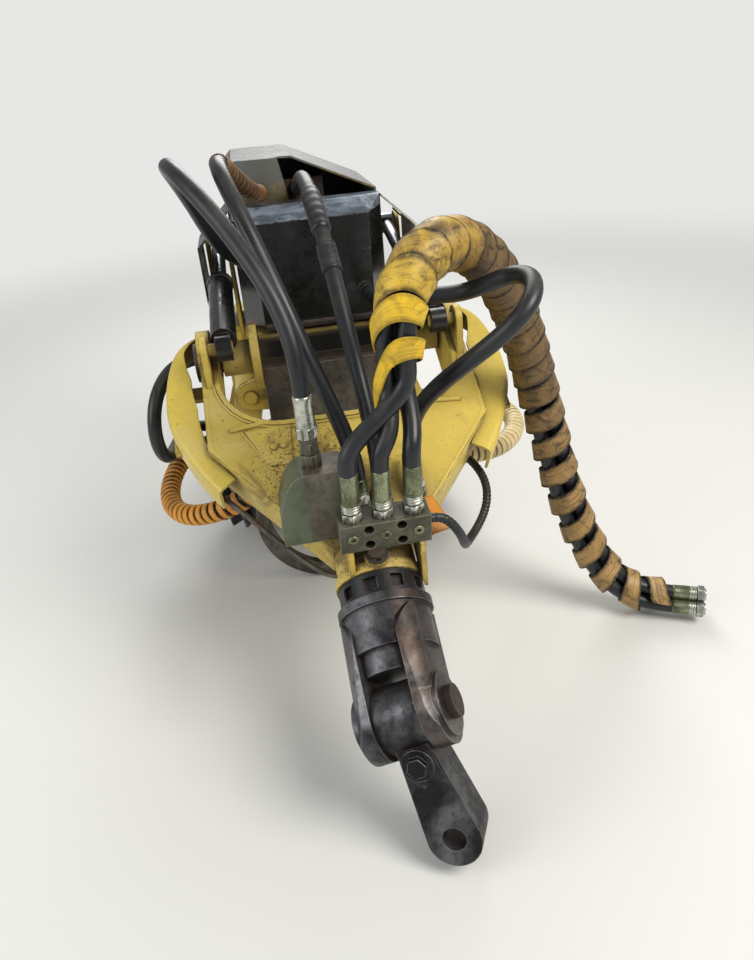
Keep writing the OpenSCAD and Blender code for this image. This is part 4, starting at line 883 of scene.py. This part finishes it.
class HARVESTER_OT_finishes(bpy.types.Operator):
    """Make the paint, steel, rubber and plastic finishes"""

    bl_idname = "harvester.finishes"
    bl_label = "Finishes"

    def execute(self, context):
        paint, mud = colour("paint"), colour("mud")
        middle, neck = in_yoke((-90, -450, 60)), in_yoke((0, -640, 40))
        FINISHES.update(
            yellow=painted_plate("yellow_paint", paint, tone(98, 80, 62), mud, 0.5, 0.4),
            yoke=painted_plate("yoke_paint", paint, tone(92, 72, 52), tone(86, 64, 38), 0.5, 0.45,
                               round_edge=0.009, soiled=[(middle, 0.26), (neck, 0.2)]),
            lime=painted_plate("guard_paint", tone(218, 192, 84), tone(92, 72, 52), mud, 0.35, 0.2, 0.32),
            yellow_worn=painted_plate("yellow_paint_worn", paint, tone(88, 70, 54), mud, 0.9, 0.8),
            girder=painted_plate("girder_paint", paint, tone(88, 70, 54), mud, 0.9, 0.7, tint=girder_tint),
            orange=painted_plate("orange_paint", tone(232, 150, 24), tone(92, 60, 40), tone(96, 50, 20), 0.4,
                                 0.3),
            cream=painted_plate("cream_paint", tone(205, 204, 184), tone(96, 84, 66), tone(96, 88, 70), 0.8,
                                0.45),
            black=painted_plate("black_paint", tone(9, 9, 10), tone(100, 94, 86), tone(26, 24, 21), 0.4,
                                0.3, 0.30),
            hood=painted_plate("hood_paint", tone(11, 13, 12), tone(112, 112, 108), tone(44, 42, 36), 0.5,
                               0.25, 0.22, tint=hood_tint),
            cover=painted_plate("cover_paint", colour("cover"), tone(120, 100, 70), tone(78, 70, 48), 0.7,
                                0.6, tint=cover_tint),
            steel=bare_steel("plate_steel", tone(116, 110, 102), tone(72, 70, 66), tone(98, 64, 42), 0.45),
            gland=bare_steel("gland_steel", tone(128, 122, 106), tone(96, 90, 78), tone(84, 62, 44), 0.2, 0.5,
                             0.34, tint=gland_tint, oily=0.3),
            cast=bare_steel("cast_steel", tone(104, 104, 106), tone(38, 38, 40), tone(70, 50, 38), 0.25,
                            0.85, 0.30, oily=0.6),
            fork=bare_steel("fork_steel", tone(112, 112, 114), tone(38, 38, 40), tone(72, 52, 40), 0.28,
                            0.85, 0.28, tint=fork_tint, oily=0.8),
            block=bare_steel("block_steel", tone(116, 114, 98), tone(80, 78, 66), tone(72, 54, 38), 0.3,
                             0.6, 0.34, oily=0.4),
            rusty=bare_steel("rusty_steel", tone(66, 54, 46), tone(40, 35, 31), tone(74, 48, 32), 0.7, 0.4,
                             0.5),
            chrome=bare_steel("chrome_rod", tone(150, 154, 160), tone(96, 100, 106), tone(120, 90, 60), 0.0,
                              1.0, 0.10, 0.001),
            bright=bare_steel("bright_nut", tone(206, 208, 196), tone(150, 154, 140), tone(96, 78, 52), 0.1,
                              0.95, 0.16, 0.001, 40.0, oily=0.5),
            zinc=bare_steel("olive_zinc", tone(150, 156, 126), tone(94, 100, 76), tone(96, 84, 48), 0.1,
                            0.9, 0.2, 0.0015, 40.0, tint=zinc_sheen_streaks),
            rubber=hose_rubber("hose_rubber", colour("rubber"), tone(92, 92, 80)),
            guard=guard_plastic("guard_yellow", [(0.0, colour("guard")), (0.2, tone(204, 170, 60)),
                                                 (0.36, tone(156, 124, 56)), (0.5, tone(104, 80, 44)),
                                                 (0.68, tone(118, 92, 52)), (0.84, tone(176, 140, 82)),
                                                 (1.0, tone(216, 184, 128))], tone(32, 26, 18), 0.8),
            guard_orange=guard_plastic("guard_orange", [(0.0, tone(228, 156, 40)), (0.5, tone(186, 122, 40)),
                                                        (1.0, tone(118, 84, 36))], tone(34, 26, 18), 0.4),
            guard_pale=guard_plastic("guard_pale", [(0.0, tone(222, 202, 150)), (0.5, tone(196, 168, 108)),
                                                    (1.0, tone(140, 108, 60))], tone(74, 60, 40), 0.3),
            guard_brown=guard_plastic("guard_brown", [(0.0, tone(142, 100, 48)), (1.0, tone(70, 48, 28))],
                                      tone(30, 24, 18), 0.7),
        )
        return {"FINISHED"}


class HARVESTER_OT_hoses(bpy.types.Operator):
    """Make the four pressure hoses over the head, the hose to the left motor and the conduit"""

    bl_idname = "harvester.hoses"
    bl_label = "Pressure hoses"

    def execute(self, context):
        own, over = sizes(), ("yoke", "frame")
        for name, route, size in [("hose_left_outer", LEFT_OUTER, own.hose),
                                  ("hose_left_inner", LEFT_INNER, own.hose),
                                  ("hose_middle", MIDDLE, own.hose),
                                  ("hose_right_loop", RIGHT_LOOP, own.loop)]:
            path, on_it = smooth_route(placed(route)), []
            if name == "hose_left_inner":
                spiral = helical_band(
                    Shell(), path, 0.83, lengths(path)[-1] - 0.03, steady(0.027), steady(0.021),
                    size / 2 + 0.0005, size / 2 + 0.004, lambda x: 0.4 + 0.3 * np.sin(14 * x),
                    lift=0.0006, wander=0.001, steps=28).made("spiral_guard_brown")
                on_it.append(follow(dressed(spiral, "guard_brown")))
            if name == "hose_middle":
                sleeves = Shell()
                for start, stop, extra in SLEEVES:
                    part = at(path, np.linspace(start, stop, 40))
                    u = np.linspace(0, 1, 40)
                    mouth = 1 - np.exp(-np.minimum(u, 1 - u) * 60)
                    tube(sleeves, part, size / 2 + 0.0006 + extra * mouth * (1 + 0.12 * np.sin(34 * u)), 24)
                on_it.append(follow(dressed(sleeves.made("hose_sleeves"), "rubber")))
            hose(name + "_fine", route, size, over, name, with_pieces=on_it)
        hose("hose_left_back_fine", LEFT_BACK, own.hose, ("frame", "feed_arm_left"), "hose_left_back")
        hose("conduit_right_fine", CONDUIT, own.thin, ("frame", "yoke"), "conduit_right", step=0.0022,
             ribs=0.011, stiffness="medium")
        return {"FINISHED"}


class HARVESTER_OT_bundle(bpy.types.Operator):
    """Make the three wrapped hoses and the spiral guard wound round them"""

    bl_idname = "harvester.bundle"
    bl_label = "Wrapped bundle"

    def execute(self, context):
        own = sizes()
        line = smooth_route(placed(BUNDLE))
        s = lengths(line)
        _, u, v = carried_frames(line)
        # The guard starts a little below the line's first point
        drawn = np.vstack([line[0] + np.linspace(0.04, 0, 7)[:-1, None] * (-0.1, -0.1, -1.0), line])
        end = lengths(drawn)[-1]
        marks, pitch, width, lean = np.array([*GUARD_TURNS, (end, *GUARD_LAST)]).T
        along = lambda values: lambda x: np.interp(x, marks, values)
        ages = np.array([*GUARD_AGES, (end, GUARD_OLDEST)]).T
        out = own.guard / 2
        guard = helical_band(
            Shell(), drawn, 0.012, end - 0.03, along(pitch), along(width), out - 0.0068, out - 0.0034,
            lambda x: np.interp(x, *ages), lift=0.0034, wander=0.0030, phase=math.radians(GUARD_PHASE),
            lean=(along(lean), GUARD_LEAN)).made("bundle_guard")
        dressed(guard, "guard")
        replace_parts(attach(guard, "yoke"), "hose_bundle")
        bright, olive = Shell(), Shell()
        turned_end = lambda points: placed(np.asarray(points, float) @ END_TURN + END_PLACE)
        for y, z in [(-22, -14), (22, -14), (0, 20)]:
            # Each end is drawn back to front: its sleeve meets the hose, its nut is outermost
            fitting(bright, olive, turned_end, (84, y, z), (-1, 0, 0), 84.0)
            fixed(bright, turned_end, (84, y, z), (1, 0, 0), [(-0.5, 17), (4, 17), (5, 15)], sides=32)
        for shell, finish in [(bright, "bright"), (olive, "zinc")]:
            piece = dressed(shell.made("bundle_ends_" + finish), finish)
            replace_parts(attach(piece, "yoke"), "hose_ends")
        first, last = STRAND_TURNS
        for k, tail in enumerate(TAILS):
            a = math.radians(first[k]) + (math.radians(last[k] - first[k])) * s / s[-1]
            spread = np.linspace(own.spread, STRAND_ENDS[k], len(line))[:, None]
            strand = line + spread * (np.cos(a)[:, None] * u + np.sin(a)[:, None] * v)
            keep = np.linspace(0.02, lengths(strand)[-1], 36)
            points = np.vstack([placed(tail), at(strand, keep)])
            path = smooth_route(points)
            obj = tube(Shell(), path, own.hose / 2, HOSE_SIDES).made(f"bundle_hose_{k + 1}")
            dressed(obj, "rubber")
            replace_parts(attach(obj, "yoke"), "hose_tails", "hose_bundle")
        return {"FINISHED"}


class HARVESTER_OT_spirals(bpy.types.Operator):
    """Make the two hoses in tight spiral guards to the feed motors"""

    bl_idname = "harvester.spirals"
    bl_label = "Spiral hoses"

    def execute(self, context):
        for side, route, finish, slot, pitch, width in SPIRALS:
            bodies = ("frame", "feed_arm_" + side)
            path = smooth_route(placed(route))
            wrap = helical_band(Shell(), path, 0.03, lengths(path)[-1] - 0.03, steady(pitch), steady(width),
                                0.0235, 0.029, lambda x: 0.25 + 0.2 * np.sin(9 * x), lift=0.0008,
                                wander=0.0008, steps=30).made(f"spiral_guard_{side}")
            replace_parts(follow(dressed(wrap, finish)), "spiral_" + side)
            hose(f"spiral_hose_{side}", route, SPIRAL_HOSE, bodies, "spiral_" + side, with_pieces=[wrap])
        return {"FINISHED"}


class HARVESTER_OT_fittings(bpy.types.Operator):
    """Make the crimped hose ends on the block, the yoke and the gland box"""

    bl_idname = "harvester.fittings"
    bl_label = "Hose fittings"

    def execute(self, context):
        bright, olive, dark = Shell(), Shell(), Shell()
        for x in (-66, 0, 66):
            fitting(bright, olive, IN_BLOCK, (x, 0, 35), (0, 0, 1), 116.0)
        for x, d in PORTS:
            nut(dark, in_yoke, (x, -d, 60.3), (0, 0, 1), 22, 27)
            leaning = tipped((x, -d, PORT_HEIGHT), -PORT_LEAN)
            nut(dark, leaning, (0, 0, -9), (0, 0, 1), 16, 21)
            fitting(bright, olive, leaning, (0, 0, 4), (0, 0, 1), 56.0)
        self.gland(Shell(), Shell())
        for shell, finish, name in [(bright, "bright", "hose_nuts"), (olive, "zinc", "hose_sleeve_ends"),
                                    (dark, "block", "port_adapters")]:
            piece = dressed(shell.made(name), finish)
            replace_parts(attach(piece, "yoke"), "hose_fittings")
        return {"FINISHED"}

    def gland(self, bright, dark):
        """The stack on the gland box: two dark adapters, a bright nut and a long bright crimp."""
        for base, height, radius in [(130, 40, 24), (172, 26, 22.5)]:
            nut(dark, IN_GLAND, (0, 0, base), (0, 0, 1), height, radius)
        fixed(dark, IN_GLAND, (0, 0, 196), (0, 0, 1), [(0, 17), (4, 20.5), (10, 20.5), (14, 17.5)], sides=40)
        nut(bright, IN_GLAND, (0, 0, 209), (0, 0, 1), 25, 25.5)
        fixed(bright, IN_GLAND, (0, 0, 233), (0, 0, 1),
              [(0, 17), (1, 21), (6, 21.6), (8, 21.0, 1), (55, 21.0, 1), (58, 21.6), (68, 21.4), (71, 20.4),
               (72, 19.2)], facets=16, sides=64)
        for shell, finish, name in [(bright, "bright", "gland_crimp"), (dark, "block", "gland_adapters")]:
            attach(dressed(shell.made(name), finish), "yoke")


class HARVESTER_OT_block(bpy.types.Operator):
    """Make the hose block's screws and plugs, the orange plate behind it and the boss bolt"""

    bl_idname = "harvester.block"
    bl_label = "Block and bolts"

    def execute(self, context):
        steel, rusty, orange = Shell(), Shell(), Shell()
        for x in (-70, 0, 70):
            fixed(steel, IN_BLOCK, (x, -21.5, 0), (0, -1, 0),
                  [(0, 8.4), (10.2, 8.4), (10.2, 11.4), (11.8, 11.4), (12.8, 10.4), (12.8, 6.0, 1),
                   (7, 5.8, 1), (7, 0.6)], facets=6, sides=36)
        for x, y, z, size in [(-2, -8, -35, 15), (-60, 4, -35, 10), (-30, 8, -35, 8)]:
            nut(steel, IN_BLOCK, (x, y, z + 0.5), (0, 0, -1), 16, size, sides=36)
            fixed(steel, IN_BLOCK, (x, y, z - 15), (0, 0, -1), [(0, 0.7 * size), (26, 0.66 * size)], sides=28)
        # The boss on the neck: a rusty washer and bolt head over its ring
        boss = (-4, -693, 114)
        fixed(rusty, in_yoke, boss, (0, 0, 1), [(-4.3, 25), (-3.5, 26), (-0.5, 26), (0.2, 25)], sides=40)
        nut(rusty, in_yoke, boss, (0, 0, 1), 15, 21.5, phase=0.2)
        fixed(rusty, in_yoke, boss, (0, 0, 1), [(14, 13), (15.6, 12), (16, 9)], sides=32)
        plate(orange, in_yoke, [(98, -566), (128, -660), (180, -648), (150, -562)], 86, 90)
        plate(orange, in_yoke, [(95, -505), (112, -505), (117, -438), (104, -438)], 86, 90)
        for shell, finish, name, slot in [(steel, "zinc", "block_screws", "zinc_plate"),
                                          (rusty, "rusty", "boss_bolt", "rusty_steel"),
                                          (orange, "orange", "orange_plate", "orange_guard")]:
            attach(dressed(shell.made(name), finish), "yoke")
        return {"FINISHED"}


class HARVESTER_OT_covers(bpy.types.Operator):
    """Make the valve cover's folded front panel, the ring of the right cover's hole and the rusty ledge"""

    bl_idname = "harvester.covers"
    bl_label = "Covers"

    def execute(self, context):
        panel = Shell()
        x = np.array([-221, -192, -150, -110, -95, -80, -60, -45, -30], float)
        low, high, back = 1081.0, 1250.0, 380.0
        top = np.minimum(np.minimum(high + x + 192, high), high - (x + 60) * 170 / 30)
        front = back - 0.5 - 20 * np.interp(x, [-221, -95, -30], [0, 1, 0])
        loop = [(front, low), (front, top - 2), (front + 2, top), (back, top), (back, low)]
        rows = [np.stack(np.broadcast_arrays(x, y, z), -1) for y, z in loop]
        panel.grid(placed(np.stack(rows, 1)), inside_out=True)
        rim = Shell()
        self.ring(rim)
        ledge = Shell()
        for start, stop in [(-163, -92), (-80, 40), (52, 163)]:
            corners = [(start, 186.5), (stop, 186.5), (stop, 191.5), (start, 191.5)]
            plate(ledge, placed, corners, 803, 815, 1.2)
        for shell, finish, name, slot in [(panel, "cover", "cover_front_panel", "plate_steel"),
                                          (rim, "black", "cover_hole_rim", "black_paint"),
                                          (ledge, "rusty", "hood_ledge_strips", "rusty_steel")]:
            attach(dressed(shell.made(name), finish), "frame")
        return {"FINISHED"}

    def ring(self, shell):
        """A dark disc sunk in a raised ring, lying on the right cover's slope."""
        normal = np.array([98.0, 0.0, 94.0]) / math.hypot(98, 94)
        profile = [(-2, 17), (2.5, 17), (3, 15.5), (2.6, 13.5), (0.6, 13), (0.6, 0.5)]
        fixed(shell, placed, (270.0, 330.0, 1071.0), normal, profile, sides=40)


class HARVESTER_OT_yoke(bpy.types.Operator):
    """Make the yoke's welds, raised panel, studs, guards and thin pipe"""

    bl_idname = "harvester.yoke"
    bl_label = "Tilt yoke"

    def execute(self, context):
        for side, name in ((-1, "side_guard_l"), (1, "side_guard_r")):
            shell = Shell()
            self.guard(shell, side)
            piece = dressed(shell.made(name + "_bent"), "lime")
            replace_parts(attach(piece, "yoke"), name)
        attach(dressed(self.welds().made("yoke_welds"), "yoke"), "yoke")
        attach(dressed(self.panels().made("yoke_panels"), "yoke"), "yoke")
        pipe = tube(Shell(), smooth_route(in_yoke(GREASE_PIPE)), 0.0065, 16).made("grease_pipe")
        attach(dressed(pipe, "steel"), "yoke")
        return {"FINISHED"}

    def guard(self, shell, side):
        """A bent plate: its outline is the smoothed line of GUARD_EDGE, and at each step the section goes up
        the side, round a corner and in over a lip that reaches GUARD_LIPS, and back a thickness inside."""
        half, bend, thick = 40.0, 16.0, 7.0
        edge = smooth_route(np.array([(x, y, 0) for x, y in GUARD_EDGE], float), 7.0)
        s = lengths(edge)
        ahead = unit(np.gradient(edge[:, :2], axis=0))
        out = np.column_stack([-ahead[:, 1], ahead[:, 0]])
        lip = np.interp(s / s[-1], *zip(*GUARD_LIPS[side]))[:, None]
        a = np.linspace(0, math.pi / 2, 7)
        corner = lambda r: (r * (np.cos(a) - 1) - (bend - r), half - bend + r * np.sin(a))
        outer_x, outer_z = corner(bend)
        inner_x, inner_z = corner(bend - thick)
        # The lip's two points stand between the corners, 0.6 inside its faces
        depth = np.concatenate([[0], outer_x, [0, 0], inner_x[::-1], [-thick]])
        high = np.concatenate([[-half], outer_z, [half - 0.6, half - thick + 0.6], inner_z[::-1], [-half]])
        reach = np.tile(depth, (len(s), 1))
        reach[:, len(a) + 1] = reach[:, len(a) + 2] = -lip[:, 0]
        plane = edge[:, None, :2] + reach[..., None] * out[:, None]
        points = np.concatenate([plane, np.broadcast_to(high, reach.shape)[..., None]], -1)
        points[..., 0] *= side
        shell.grid(in_yoke(points), inside_out=side < 0)
        for y in (-100, -260):
            corners = [(side * 340, y - 20), (side * 434, y - 20), (side * 434, y + 20), (side * 340, y + 20)]
            plate(shell, in_yoke, corners[::side], -20, -4)

    def welds(self):
        """Beads with ripples along the cut's flange and round the panel: their radius is r + ripple
        |sin(pi s / step)|."""
        shell, ripple, step = Shell(), 0.0007, 0.007
        arc = np.linspace(0, math.pi / 2, 8)
        cut = [(-317, -60), *[(-150 - 167 * math.cos(q), -125 - 167 * math.sin(q)) for q in arc]]
        cut = cut + [(-x, y) for x, y in cut[::-1]]
        for line, high, size in [(cut, 60, 0.0042), (cut, -60, 0.0042),
                                 ([(-290, -283), (-210, -274), (-118, -286)], 60, 0.007),
                                 ([(-262, -290), (-232, -350), (-206, -404), (-168, -424)], 60, 0.0035),
                                 ([(290, -283), (215, -276), (150, -290)], 60, 0.007)]:
            path = even(in_yoke([(x, y, high) for x, y in line]), 0.003)
            s = lengths(path)
            tube(shell, path, size + ripple * np.abs(np.sin(math.pi * s / step)), 10)
        return shell

    def panels(self):
        """The raised panel of the top plate, its two studs, and the folded strips along the outer edges."""
        shell = Shell()
        plate(shell, in_yoke, [(-256, -292), (-206, -402), (-150, -402), (-140, -286)], 59, 64, 3)
        for x, y in ((-189, -349), (-165, -348)):
            fixed(shell, in_yoke, (x, y, 63), (0, 0, 1), [(0, 9.5), (5, 9.3), (7.4, 7.6), (8.4, 4)], sides=28)
        for side in (-1, 1):
            path = [(side * 337, y, 52) for y in (-170, -240, -322)]
            path += [(side * (334.3 - 254 * q), -335 - 305 * q, 52) for q in (0.03, 0.5, 0.96)]
            tube(shell, smooth_route(in_yoke(path), 0.008), 0.009, 16)
        return shell


class HARVESTER_OT_solids(bpy.types.Operator):
    """Give each solid of the frame its finish"""

    bl_idname = "harvester.solids"
    bl_label = "Finishes on the solids"

    def execute(self, context):
        by_finish = {
            "yellow": "block_bracket saw_box feed_arm_l feed_arm_r",
            "yoke": "tilt_yoke",
            "lime": "side_guard_l side_guard_r",
            "girder": "main_frame",
            "yellow_worn": "knife_lugs cylinder_brackets",
            # wing_l takes the black paint as painted shade: it is the same wedge-shaped side panel as the
            # cream wing_r, dark only because it lies in shade
            "black": "wheel_bracket saw_motor feed_motor_l feed_motor_r barrel_l barrel_r "
                     "rotator_ring wing_l",
            "hood": "hood",
            "cover": "valve_cover",
            "cream": "wing_r",
            "gland": "gland_box",
            "fork": "rotator_fork",
            "steel": "saw_bar top_knife front_knife_l front_knife_r rear_knife_l rear_knife_r "
                     "measuring_wheel pivot_pins",
            "block": "hose_block",
            "cast": "feed_roller_l feed_roller_r hanger_link",
            "rusty": "fork_pin valve_block",
            "chrome": "rod_l rod_r",
            "zinc": "hose_fittings hose_ends",
            "rubber": "hose_tails hose_left_outer hose_left_inner hose_middle hose_right_loop "
                      "hose_left_back conduit_right",
            "guard": "hose_bundle spiral_left",
            "guard_pale": "spiral_right",
        }
        left = set(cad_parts)
        for finish, names in by_finish.items():
            for name in names.split():
                if name in left:
                    left.remove(name)
                    dressed(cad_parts[name], finish)
        if left:
            raise RuntimeError(f"solids without a finish: {sorted(left)}")
        return {"FINISHED"}


# The background's colour and the sky's strength
PALE = (0.80, 0.80, 0.785)
SKY = 0.42
# Half the floor's size, and where it starts and ends to fade into the background, in metres
FLOOR_HALF, FLOOR_FADE = 24, (2.2, 6.5)
# Lamps: name, place, size, power and colour; all face one spot over the middle
LAMPS = [("key_lamp", (2.2, -2.4, 3.6), 2.4, 150.0, (1.0, 0.97, 0.92)),
         ("fill_lamp", (-3.4, -1.6, 2.4), 3.0, 60.0, (0.94, 0.97, 1.0)),
         ("back_lamp", (0.6, 3.2, 3.2), 2.6, 90.0, (1.0, 1.0, 1.0))]
LIT_SPOT = (0.0, 0.0, 0.5)
# The camera: turn, tilt down and roll in degrees, its place in metres, its sensor's height and its lens
VIEW_TURN = (7.38, 29.09, -5.25)
VIEW_PLACE = (-0.162, -2.021, 1.475)
SENSOR, LENS = 36.0, 28.35


def matrix_of(x, y, z, place):
    """The transform whose axes and place these are."""
    m = Matrix.Identity(4)
    for k, axis in enumerate((x, y, z, place)):
        for row in range(3):
            m[row][k] = float(axis[row])
    return m


class HARVESTER_OT_studio(bpy.types.Operator):
    """Make the floor, the soft lamps and the camera at the photograph's angle"""

    bl_idname = "harvester.studio"
    bl_label = "Studio"

    def execute(self, context):
        scene = context.scene
        scene.view_settings.view_transform = "Standard"
        self.floor()
        self.world(scene)
        for name, place, size, power, tint in LAMPS:
            lamp = bpy.data.lights.new(name, "AREA")
            lamp.shape, lamp.size, lamp.energy, lamp.color = "DISK", size, power, tint
            obj = bpy.data.objects.new(name, lamp)
            scene.collection.objects.link(obj)
            back = unit(np.array(place) - LIT_SPOT)
            side = unit(np.cross((0.0, 0.0, 1.0), back))
            obj.matrix_world = matrix_of(side, np.cross(back, side), back, place)
        self.camera(scene)
        return {"FINISHED"}

    def floor(self):
        """A wide plain floor that fades into the background."""
        ruled = np.linspace(-FLOOR_HALF, FLOOR_HALF, 25)
        x, y = np.meshgrid(ruled, ruled, indexing="ij")
        obj = Shell().grid(np.stack([x, y, 0 * x], -1), wrap=False).made("floor")
        f = Finish("floor_finish")
        plain = f.mix(f.step(f.noise(1.2, 3), 0.3, 0.7, 0.0, 0.04), colour("floor"), tone(200, 200, 198))
        f.done(plain, f.step(f.noise(3.0, 3), 0.3, 0.7, 0.75, 0.85))
        far = f.step(f.from_spot((0, 0, 0)), *FLOOR_FADE)
        pale = f.tree.nodes.new("ShaderNodeEmission")
        f.put(pale.inputs["Color"], PALE)
        ray = f.tree.nodes.new("ShaderNodeLightPath")
        mix = f.tree.nodes.new("ShaderNodeMixShader")
        f.put(mix.inputs[0], f.times(far, f.most(ray.outputs["Is Camera Ray"], ray.outputs["Is Glossy Ray"])))
        f.put(mix.inputs[1], f.shader.outputs[0])
        f.put(mix.inputs[2], pale.outputs[0])
        f.put(f.tree.nodes["Material Output"].inputs["Surface"], mix.outputs[0])
        obj.data.materials.append(f.material)

    def world(self, scene):
        """White light from all round, seen as a pale background."""
        world = bpy.data.worlds.new("studio_world")
        world.use_nodes = True
        scene.world = world
        tree = world.node_tree
        light = tree.nodes["Background"]
        light.inputs["Color"].default_value = (1.0, 1.0, 1.0, 1.0)
        light.inputs["Strength"].default_value = SKY
        seen = tree.nodes.new("ShaderNodeBackground")
        seen.inputs["Color"].default_value = (*PALE, 1.0)
        ray = tree.nodes.new("ShaderNodeLightPath")
        pick = tree.nodes.new("ShaderNodeMixShader")
        tree.links.new(ray.outputs["Is Camera Ray"], pick.inputs[0])
        tree.links.new(light.outputs[0], pick.inputs[1])
        tree.links.new(seen.outputs[0], pick.inputs[2])
        tree.links.new(pick.outputs[0], tree.nodes["World Output"].inputs["Surface"])

    def camera(self, scene):
        """A camera that sees the head as the photograph does."""
        yaw, pitch, roll = (math.radians(a) for a in VIEW_TURN)
        ahead = np.array([math.sin(yaw) * math.cos(pitch), math.cos(yaw) * math.cos(pitch), -math.sin(pitch)])
        level = np.array([math.cos(yaw), -math.sin(yaw), 0.0])
        over = np.cross(level, ahead)
        right = level * math.cos(roll) + over * math.sin(roll)
        up = over * math.cos(roll) - level * math.sin(roll)
        data = bpy.data.cameras.new("photo_camera")
        data.sensor_fit, data.sensor_height, data.lens = "VERTICAL", SENSOR, LENS
        camera = bpy.data.objects.new("photo_camera", data)
        scene.collection.objects.link(camera)
        camera.matrix_world = matrix_of(right, up, -ahead, VIEW_PLACE)
        scene.camera = camera


STEPS = [HARVESTER_OT_studio, HARVESTER_OT_finishes, HARVESTER_OT_hoses, HARVESTER_OT_bundle,
         HARVESTER_OT_spirals, HARVESTER_OT_fittings, HARVESTER_OT_block, HARVESTER_OT_covers,
         HARVESTER_OT_yoke, HARVESTER_OT_solids]


class HARVESTER_PT_parts(bpy.types.Panel):
    """The steps as buttons, and the sizes and colours"""

    bl_label = "Harvester head"
    bl_idname = "HARVESTER_PT_parts"
    bl_space_type = "VIEW_3D"
    bl_region_type = "UI"
    bl_category = "Harvester"

    def draw(self, context):
        for step in STEPS:
            self.layout.operator(step.bl_idname)
        for group in (context.scene.harvester_sizes, context.scene.harvester_colours):
            for name in group.bl_rna.properties.keys():
                if name not in {"name", "rna_type"}:
                    self.layout.prop(group, name)


CLASSES = [HarvesterSizes, HarvesterColours, *STEPS, HARVESTER_PT_parts]


def register():
    """Makes the steps, the panel and the scene's sizes and colours known."""
    for cls in CLASSES:
        bpy.utils.register_class(cls)
    bpy.types.Scene.harvester_sizes = bpy.props.PointerProperty(type=HarvesterSizes)
    bpy.types.Scene.harvester_colours = bpy.props.PointerProperty(type=HarvesterColours)


def unregister():
    """Takes them all away again."""
    del bpy.types.Scene.harvester_colours
    del bpy.types.Scene.harvester_sizes
    for cls in reversed(CLASSES):
        bpy.utils.unregister_class(cls)


def main():
    """Makes the steps known and takes them all."""
    register()
    for step in STEPS:
        group, name = step.bl_idname.split(".")
        getattr(getattr(bpy.ops, group), name)()


if __name__ == "__main__":
    main()
